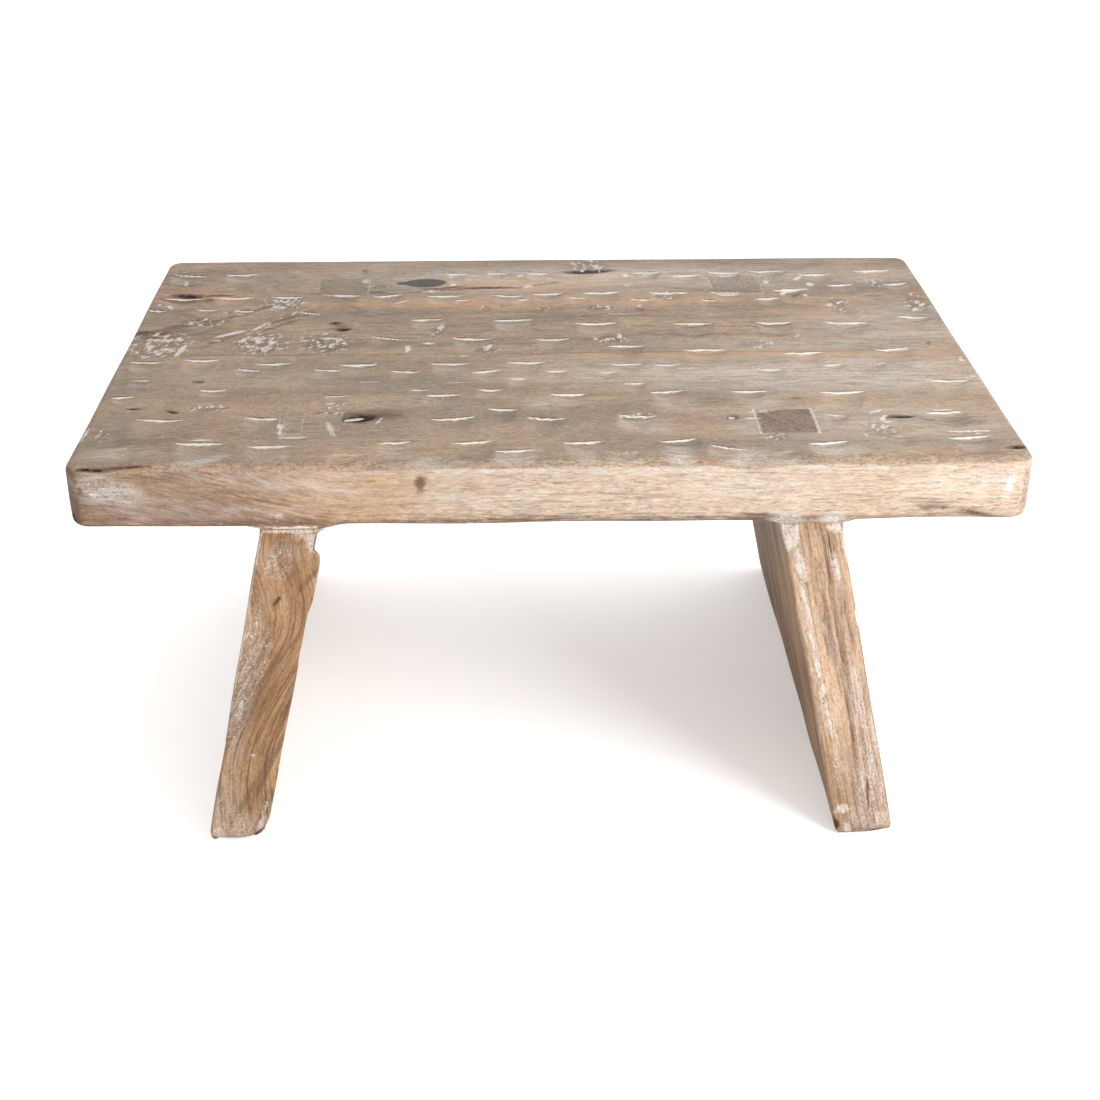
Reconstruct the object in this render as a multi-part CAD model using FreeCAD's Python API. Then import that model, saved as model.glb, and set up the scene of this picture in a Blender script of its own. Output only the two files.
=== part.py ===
import FreeCAD, Part
import math
import os

# A low carved stool. Two thick boards, joined edge to edge, make the seat, and two slab legs
# as deep as the seat carry it. Each leg leans outwards and has two tenons that go right
# through the seat and show on its top, which is covered in gouge cuts.
# Frame: +X along the seat, +Y to the rear, +Z up, origin on the floor under the middle.

# Seat
seat_length = 600.0
seat_depth = 400.0
stool_height = 288.0
seat_thickness = 44.0
front_board_width = 186.0
corner_radius = 12.0
top_edge_radius = 7.0
bottom_edge_radius = 9.0

# Legs: how far the middle of a leg stands in from the seat's end, at the top face and at the
# floor, and how far the leg's two edges lie inside the seat's front and rear faces
leg_thickness = 39.5
leg_top_inset = 147.5
leg_foot_inset = 83.0
leg_end_inset = 2.0
leg_edge_radius = 4.0
foot_edge_radius = 7.0

# The seat's lower edge keeps its full corner over each leg, and a little to each side of it
pad_margin = 3.0

# Tenons and their mortises
tenon_width = 38.0
tenon_thickness = 36.5
front_tenon_inset = 62.0
rear_tenon_inset = 67.5
mortise_clearance = 0.3

# Shim beside the front left tenon, let into the tenon's outer side from the top
shim_thickness = 12.5
shim_width = 28.0
shim_height = 36.0
shim_taper = 3.0
shim_clearance = 0.2

# Dowels across the seam between the two boards
dowel_diameter = 10.0
dowel_length = 60.0
dowel_edge_radius = 1.0
dowel_clearance = 0.1
dowel_end_clearance = 1.0
dowel_place_shares = (0.11, 0.37, 0.63, 0.89)

# Gouge cuts on the top: the widest cut's width, its depth at the stop wall, and its run
scoop_width = 32.0
scoop_depth = 3.0
scoop_run = 36.0

# How far every cutting tool reaches past the wood
overrun = 6.0

# Each cut: place along the seat from the left end, place of its stop wall from the rear
# edge, and size, as shares of the seat's length, the seat's depth and the widest cut
scoop_shares = (
    (0.039, 0.093, 0.90), (0.106, 0.091, 0.88), (0.389, 0.097, 0.60), (0.444, 0.090, 0.55),
    (0.497, 0.094, 0.62), (0.640, 0.096, 0.72), (0.690, 0.113, 0.80), (0.743, 0.098, 0.85),
    (0.801, 0.090, 1.00), (0.862, 0.112, 0.85), (0.942, 0.094, 1.00), (0.889, 0.178, 0.72),
    (0.962, 0.174, 0.66), (0.044, 0.231, 1.00), (0.108, 0.223, 1.00), (0.175, 0.224, 0.84),
    (0.244, 0.217, 1.00), (0.303, 0.222, 0.72), (0.375, 0.223, 0.90), (0.456, 0.225, 0.80),
    (0.507, 0.217, 0.78), (0.577, 0.212, 0.94), (0.663, 0.217, 1.00), (0.739, 0.214, 0.90),
    (0.817, 0.204, 0.75), (0.319, 0.256, 0.50), (0.397, 0.252, 0.42), (0.472, 0.248, 0.45),
    (0.546, 0.243, 0.52), (0.628, 0.254, 0.62), (0.712, 0.260, 0.50), (0.787, 0.256, 0.70),
    (0.018, 0.294, 0.55), (0.081, 0.293, 0.52), (0.128, 0.303, 0.50), (0.211, 0.315, 0.55),
    (0.356, 0.358, 0.80), (0.462, 0.363, 0.95), (0.564, 0.382, 0.98), (0.682, 0.388, 1.00),
    (0.782, 0.387, 0.92), (0.872, 0.389, 1.05), (0.958, 0.361, 0.78), (0.312, 0.454, 0.80),
    (0.413, 0.458, 0.95), (0.510, 0.464, 0.80), (0.596, 0.500, 0.86), (0.689, 0.524, 1.00),
    (0.804, 0.542, 1.00), (0.911, 0.527, 0.92), (0.036, 0.563, 0.75), (0.100, 0.554, 0.85),
    (0.183, 0.571, 0.80), (0.281, 0.580, 0.95), (0.388, 0.581, 0.84), (0.477, 0.578, 0.82),
    (0.594, 0.587, 0.78), (0.640, 0.593, 0.60), (0.158, 0.602, 0.55), (0.248, 0.607, 0.62),
    (0.339, 0.613, 0.68), (0.430, 0.617, 0.72), (0.512, 0.619, 0.50), (0.570, 0.626, 0.42),
    (0.757, 0.617, 0.72), (0.832, 0.600, 0.50), (0.886, 0.593, 0.46), (0.039, 0.645, 0.55),
    (0.125, 0.691, 0.60), (0.468, 0.651, 0.55), (0.598, 0.677, 0.60), (0.955, 0.680, 0.86),
    (0.356, 0.699, 0.55), (0.435, 0.700, 0.62), (0.028, 0.718, 0.50), (0.264, 0.723, 0.50),
    (0.381, 0.722, 0.82), (0.523, 0.724, 0.86), (0.632, 0.717, 0.74), (0.725, 0.719, 0.78),
    (0.829, 0.724, 1.00), (0.079, 0.817, 1.02), (0.190, 0.814, 0.78), (0.394, 0.821, 0.95),
    (0.448, 0.787, 0.70), (0.496, 0.822, 0.92), (0.594, 0.819, 0.86), (0.810, 0.824, 0.55),
    (0.931, 0.815, 0.90), (0.132, 0.914, 0.98), (0.205, 0.926, 1.00), (0.335, 0.915, 0.82),
    (0.418, 0.917, 0.90), (0.461, 0.951, 0.82), (0.534, 0.922, 0.95), (0.634, 0.917, 0.86),
    (0.684, 0.944, 0.84), (0.790, 0.931, 0.90), (0.940, 0.916, 0.90), (0.285, 0.958, 0.80),
    (0.575, 0.962, 0.80), (0.380, 0.972, 0.85), (0.740, 0.962, 0.70), (0.058, 0.930, 0.70),
    (0.870, 0.905, 0.60),
)

# Sizes that follow from the ones above
underside = stool_height - seat_thickness
seat_front = -seat_depth / 2
seat_rear = seat_depth / 2
seam = seat_front + front_board_width
leg_top_offset = seat_length / 2 - leg_top_inset
lean = (leg_top_inset - leg_foot_inset) / stool_height
lean_angle = math.atan(lean)
leg_front = seat_front + leg_end_inset
leg_rear = seat_rear - leg_end_inset
front_tenon_middle = seat_front + front_tenon_inset
rear_tenon_middle = seat_rear - rear_tenon_inset
tiny = overrun / 1000


def leg_middle(height):
    # distance of a leg's middle plane from the middle of the seat, at one height
    return leg_top_offset + (stool_height - height) * lean


def leaning_prism(side, thickness, front, rear, low, high):
    # a slab that leans outwards with the leg, on the left for side -1, on the right for 1
    half = thickness / math.cos(lean_angle) / 2
    outline = [
        (leg_middle(low) - half, low),
        (leg_middle(low) + half, low),
        (leg_middle(high) + half, high),
        (leg_middle(high) - half, high),
    ]
    points = [FreeCAD.Vector(side * x, front, z) for x, z in outline]
    face = Part.Face(Part.makePolygon(points + points[:1]))
    return face.extrude(FreeCAD.Vector(0, rear - front, 0))


def near(a, b):
    return abs(a - b) < tiny


def round_edges(solid, radius, wanted):
    return solid.makeFillet(radius, [edge for edge in solid.Edges if wanted(edge.BoundBox)])


def tenon_middles():
    return (front_tenon_middle, rear_tenon_middle)


def make_tenon(side, middle, spare, low, high):
    # spare is the room that the mortise leaves round the tenon
    reach = tenon_width / 2 + spare
    return leaning_prism(side, tenon_thickness + 2 * spare, middle - reach, middle + reach, low, high)


def make_shim(spare):
    # a wedge that fills the outer part of the front left tenon, narrower at its lower end
    low = stool_height - shim_height - spare
    high = stool_height
    half = tenon_thickness / math.cos(lean_angle) / 2
    outer_low = leg_middle(low) + half
    outer_high = leg_middle(high) + half
    inner_low = outer_low - (shim_thickness - shim_taper) - spare
    inner_high = outer_high - shim_thickness - spare
    outline = [(inner_low, low), (outer_low, low), (outer_high, high), (inner_high, high)]
    reach = shim_width / 2 + spare
    points = [FreeCAD.Vector(-x, front_tenon_middle - reach, z) for x, z in outline]
    face = Part.Face(Part.makePolygon(points + points[:1]))
    return face.extrude(FreeCAD.Vector(0, 2 * reach, 0))


def make_scoop(middle, wall, width, depth, run):
    # a gouge cut: an arc-shaped channel that starts deep at its stop wall and runs out forwards
    radius = (width * width / 4 + depth * depth) / (2 * depth)
    slope = math.atan(depth / run)
    up = FreeCAD.Vector(0, math.sin(slope), math.cos(slope))
    forwards = FreeCAD.Vector(0, -math.cos(slope), math.sin(slope))
    height = depth + overrun
    half = math.sqrt(height * (2 * radius - height))
    bottom = FreeCAD.Vector(middle, wall, stool_height - depth)
    left = bottom + up * height - FreeCAD.Vector(half, 0, 0)
    right = bottom + up * height + FreeCAD.Vector(half, 0, 0)
    outline = Part.Wire([Part.Arc(left, bottom, right).toShape(), Part.makeLine(right, left)])
    return Part.Face(outline).extrude(forwards * (run + overrun))


def make_scoops():
    tools = []
    for along_share, back_share, size_share in scoop_shares:
        middle = (along_share - 0.5) * seat_length
        wall = seat_rear - back_share * seat_depth
        width = scoop_width * size_share
        depth = scoop_depth * math.sqrt(size_share)
        tools.append(make_scoop(middle, wall, width, depth, scoop_run * size_share))
    return tools


def carve(solid, tools):
    # only the cuts that reach this piece are used
    box = solid.BoundBox
    for tool in tools:
        if tool.BoundBox.intersect(box):
            solid = solid.cut(tool)
    return solid


def make_pad(side, outer_face, inwards):
    # fills the rounded lower edge of the seat over one end of a leg
    half = leg_thickness / math.cos(lean_angle) / 2 + pad_margin
    middle = leg_middle(underside)
    top = underside + bottom_edge_radius
    outline = [
        (middle - half, underside),
        (middle + half, underside),
        (middle + half + bottom_edge_radius, top),
        (middle - half - bottom_edge_radius, top),
    ]
    points = [FreeCAD.Vector(side * x, outer_face, z) for x, z in outline]
    face = Part.Face(Part.makePolygon(points + points[:1]))
    return face.extrude(FreeCAD.Vector(0, inwards * bottom_edge_radius, 0))


def make_dowels(spare, end_spare):
    solids = []
    for share in dowel_place_shares:
        start = FreeCAD.Vector(
            (share - 0.5) * seat_length,
            seam - dowel_length / 2 - end_spare,
            underside + seat_thickness / 2,
        )
        solids.append(Part.makeCylinder(
            dowel_diameter / 2 + spare,
            dowel_length + 2 * end_spare,
            start,
            FreeCAD.Vector(0, 1, 0),
        ))
    return solids


def make_board(low_y, high_y, outer_face, inwards, scoops):
    corner = FreeCAD.Vector(-seat_length / 2, low_y, underside)
    board = Part.makeBox(seat_length, high_y - low_y, seat_thickness, corner)
    board = round_edges(board, corner_radius, lambda box: near(box.YMin, outer_face)
                        and near(box.YMax, outer_face) and near(box.XMin, box.XMax))
    board = round_edges(board, top_edge_radius, lambda box: near(box.ZMin, stool_height)
                        and not (near(box.YMin, seam) and near(box.YMax, seam)))
    board = round_edges(board, bottom_edge_radius, lambda box: near(box.ZMax, underside)
                        and not (near(box.YMin, seam) and near(box.YMax, seam)))
    pads = [make_pad(side, outer_face, inwards) for side in (-1, 1)]
    board = board.fuse(pads).removeSplitter()
    mortises = [
        make_tenon(side, middle, mortise_clearance, underside - overrun, stool_height + overrun)
        for side in (-1, 1)
        for middle in tenon_middles()
        if low_y < middle < high_y
    ]
    bores = make_dowels(dowel_clearance, dowel_end_clearance)
    return carve(board.cut(mortises + bores), scoops)


def make_leg(side, scoops):
    leg = leaning_prism(side, leg_thickness, leg_front, leg_rear, 0, underside)
    leg = round_edges(leg, foot_edge_radius, lambda box: near(box.ZMax, 0)
                      and near(box.XMin, box.XMax))
    leg = round_edges(leg, leg_edge_radius, lambda box: near(box.YMin, box.YMax)
                      and not near(box.ZMin, underside))
    tenons = [
        make_tenon(side, middle, 0, underside - overrun, stool_height)
        for middle in tenon_middles()
    ]
    leg = leg.fuse(tenons).removeSplitter()
    if side < 0:
        leg = leg.cut(make_shim(shim_clearance))
    return carve(leg, scoops)


def round_dowel(dowel):
    return dowel.makeFillet(dowel_edge_radius, dowel.Edges[:1] + dowel.Edges[2:])


def write(name, shape):
    shape.exportStep("parts/" + name + ".step")
    print(name, len(shape.Solids), "solids", shape.isValid(), round(shape.Volume))


os.makedirs("parts", exist_ok=True)
cuts = make_scoops()
write("front_board", make_board(seat_front, seam, seat_front, 1, cuts))
write("rear_board", make_board(seam, seat_rear, seat_rear, -1, cuts))
write("left_leg", make_leg(-1, cuts))
write("right_leg", make_leg(1, cuts))
write("tenon_shim", carve(make_shim(0), cuts))
write("seat_dowels", Part.makeCompound([round_dowel(dowel) for dowel in make_dowels(0, 0)]))
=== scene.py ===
import math

import bpy
import numpy as np
from bpy.props import FloatProperty, FloatVectorProperty, PointerProperty
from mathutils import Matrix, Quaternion, Vector


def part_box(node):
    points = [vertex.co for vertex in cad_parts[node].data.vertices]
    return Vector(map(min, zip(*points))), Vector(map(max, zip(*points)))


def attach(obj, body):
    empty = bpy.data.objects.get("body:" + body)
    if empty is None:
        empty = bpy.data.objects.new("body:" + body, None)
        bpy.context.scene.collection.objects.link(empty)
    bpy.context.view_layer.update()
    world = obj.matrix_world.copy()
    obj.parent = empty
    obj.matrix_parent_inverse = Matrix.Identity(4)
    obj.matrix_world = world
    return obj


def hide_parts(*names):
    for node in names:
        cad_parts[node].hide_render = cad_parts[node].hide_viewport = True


# A low stool: two carved boards joined edge to edge, on two leaning slab legs whose tenons come
# up through the seat. All sizes are in metres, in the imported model's frame: +X along the seat,
# +Y to the rear, +Z up, and the floor at zero.

bl_info = {
    "name": "Carved Plank Stool",
    "version": (1, 0, 0),
    "blender": (4, 5, 0),
    "location": "View3D > Sidebar > Stool",
    "description": "Dresses a packed plank stool: carved seat boards, slab legs, whitewashed wood",
    "category": "Object",
}

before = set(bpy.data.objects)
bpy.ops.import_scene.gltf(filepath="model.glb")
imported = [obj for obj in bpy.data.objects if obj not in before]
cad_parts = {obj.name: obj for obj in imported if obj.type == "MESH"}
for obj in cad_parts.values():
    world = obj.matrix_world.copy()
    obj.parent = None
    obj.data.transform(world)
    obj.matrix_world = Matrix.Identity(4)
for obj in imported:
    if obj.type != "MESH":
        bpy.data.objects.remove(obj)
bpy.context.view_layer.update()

MM = 0.001
BODY = "root"

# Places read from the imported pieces
FRONT_LOW, FRONT_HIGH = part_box("front_board")
REAR_LOW, REAR_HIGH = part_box("rear_board")
SHIM_LOW, SHIM_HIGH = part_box("tenon_shim")
LEG_LOW, LEG_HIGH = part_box("left_leg")
SEAT_TOP = REAR_HIGH.z
UNDERSIDE = REAR_LOW.z
SEAT_THICKNESS = SEAT_TOP - UNDERSIDE
SEAT_FRONT = FRONT_LOW.y
SEAT_REAR = REAR_HIGH.y
SEAM = REAR_LOW.y
HALF_LENGTH = REAR_HIGH.x
SEAT_LENGTH = 2 * HALF_LENGTH
SEAT_DEPTH = SEAT_REAR - SEAT_FRONT
LEG_FRONT = LEG_LOW.y
LEG_REAR = LEG_HIGH.y

# The joinery, the same as in the solids
LEG_THICKNESS = 39.5 * MM
LEG_TOP_OFFSET = HALF_LENGTH - 147.5 * MM
LEG_FOOT_OFFSET = HALF_LENGTH - 83 * MM
LEAN = (LEG_FOOT_OFFSET - LEG_TOP_OFFSET) / SEAT_TOP
LEVEL_CUT = math.sqrt(1 + LEAN * LEAN)  # how much wider a leaning slab is when cut level
TENON_WIDTH = 38 * MM
TENON_THICKNESS = 36.5 * MM
MORTISE_CLEARANCE = 0.15 * MM

# Half the length along the seat of a leg, a tenon and a mortise
HALF_LEG = LEG_THICKNESS * LEVEL_CUT / 2
HALF_TENON = TENON_THICKNESS * LEVEL_CUT / 2
HALF_MORTISE = HALF_TENON + MORTISE_CLEARANCE

FRONT_TENON = (SHIM_LOW.y + SHIM_HIGH.y) / 2
REAR_TENON = SEAT_REAR - 67.5 * MM
SHIM_THICKNESS = 12.5 * MM
SHIM_TAPER = 3 * MM
SHIM_CLEARANCE = 0.1 * MM
PAD_MARGIN = 3 * MM

# Gouge cuts on the top, as in the solids: place along the seat from its left end, place of the
# stop wall from the rear edge, size against the widest cut, the wall's turn in degrees, and how
# much whitewash the wall holds
CUT_SHARES = (
    (0.039, 0.093, 0.9, -12, 1), (0.106, 0.091, 0.88, 3, 1), (0.389, 0.097, 0.6, 0, 1),
    (0.444, 0.09, 0.55, 0, 1), (0.497, 0.094, 0.62, 2, 1), (0.64, 0.096, 0.72, 4, 1),
    (0.69, 0.113, 0.8, 0, 1), (0.743, 0.098, 0.85, 0, 1), (0.801, 0.09, 1, 0, 1),
    (0.862, 0.112, 0.85, 3, 1), (0.942, 0.094, 1, 3, 1), (0.889, 0.178, 0.72, 9, 1),
    (0.962, 0.174, 0.66, 8, 1), (0.044, 0.231, 1, 0, 1), (0.108, 0.223, 1, 0, 1),
    (0.175, 0.224, 0.84, -2, 1), (0.244, 0.217, 1, -6, 1), (0.303, 0.222, 0.72, 12, 1),
    (0.375, 0.223, 0.9, 0, 1), (0.456, 0.225, 0.8, -4, 1), (0.507, 0.217, 0.78, 2, 1),
    (0.577, 0.212, 0.94, 4, 1), (0.663, 0.217, 1, 0, 1), (0.739, 0.214, 0.9, 0, 1),
    (0.817, 0.204, 0.75, 4, 1), (0.319, 0.256, 0.5, 14, 1), (0.397, 0.252, 0.42, 0, 1),
    (0.472, 0.248, 0.45, 0, 1), (0.546, 0.243, 0.52, -8, 1), (0.628, 0.254, 0.62, -8, 1),
    (0.712, 0.26, 0.5, -12, 1), (0.787, 0.256, 0.7, 8, 1), (0.018, 0.294, 0.55, -10, 1),
    (0.081, 0.293, 0.52, -3, 1), (0.128, 0.303, 0.5, 0, 1), (0.211, 0.315, 0.55, -20, 1),
    (0.356, 0.358, 0.8, 2, 1), (0.462, 0.363, 0.95, 0, 1), (0.564, 0.382, 0.98, 0, 1),
    (0.682, 0.388, 1, -2, 1), (0.782, 0.387, 0.92, 0, 1), (0.872, 0.389, 1.05, -2, 1),
    (0.958, 0.361, 0.78, -4, 1), (0.312, 0.454, 0.8, -18, 1), (0.413, 0.458, 0.95, -4, 1),
    (0.51, 0.464, 0.8, 0, 1), (0.596, 0.5, 0.86, 2, 1), (0.689, 0.524, 1, 3, 1),
    (0.804, 0.542, 1, 4, 1), (0.911, 0.527, 0.92, 8, 1), (0.036, 0.563, 0.75, -2, 1),
    (0.1, 0.554, 0.85, 0, 0.6), (0.183, 0.571, 0.8, 4, 1), (0.281, 0.58, 0.95, 4, 1),
    (0.388, 0.581, 0.84, 0, 1), (0.477, 0.578, 0.82, 0, 1), (0.594, 0.587, 0.78, 0, 0.5),
    (0.64, 0.593, 0.6, 0, 1), (0.158, 0.602, 0.55, -14, 1), (0.248, 0.607, 0.62, -4, 1),
    (0.339, 0.613, 0.68, -6, 1), (0.43, 0.617, 0.72, 12, 1), (0.512, 0.619, 0.5, 3, 1),
    (0.57, 0.626, 0.42, 0, 0.4), (0.757, 0.617, 0.72, 0, 1), (0.832, 0.6, 0.5, 10, 1),
    (0.886, 0.593, 0.46, -12, 0.5), (0.039, 0.645, 0.55, 0, 0.4), (0.125, 0.691, 0.6, 3, 1),
    (0.468, 0.651, 0.55, 0, 0.5), (0.598, 0.677, 0.6, 0, 0.35), (0.955, 0.68, 0.86, -2, 1),
    (0.356, 0.699, 0.55, 2, 0.35), (0.435, 0.7, 0.62, 0, 0.4), (0.028, 0.718, 0.5, 8, 1),
    (0.264, 0.723, 0.5, 0, 1), (0.381, 0.722, 0.82, 0, 1), (0.523, 0.724, 0.86, 0, 1),
    (0.632, 0.717, 0.74, 7, 1), (0.725, 0.719, 0.78, 0, 1), (0.829, 0.724, 1, 0, 1),
    (0.079, 0.817, 1.02, -3, 1), (0.19, 0.814, 0.78, -5, 1), (0.394, 0.821, 0.95, 9, 1),
    (0.448, 0.787, 0.7, -2, 0.5), (0.496, 0.822, 0.92, -8, 0.7), (0.594, 0.819, 0.86, -6, 1),
    (0.81, 0.824, 0.55, -12, 0.5), (0.931, 0.815, 0.9, 4, 1), (0.132, 0.914, 0.98, 0, 1),
    (0.205, 0.926, 1, 0, 0.45), (0.335, 0.915, 0.82, 5, 0.45), (0.418, 0.917, 0.9, 10, 0.45),
    (0.461, 0.951, 0.82, 2, 1), (0.534, 0.922, 0.95, 8, 0.6), (0.634, 0.917, 0.86, 12, 1),
    (0.684, 0.944, 0.84, -14, 1), (0.79, 0.931, 0.9, 8, 0.7), (0.94, 0.916, 0.9, 8, 1),
    (0.285, 0.958, 0.8, 0, 0.1), (0.575, 0.962, 0.8, 0, 0.1), (0.38, 0.972, 0.85, 0, 0.1),
    (0.74, 0.962, 0.7, 0, 0.1), (0.058, 0.93, 0.7, 0, 0.1), (0.87, 0.905, 0.6, 0, 0.1),
)

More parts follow.
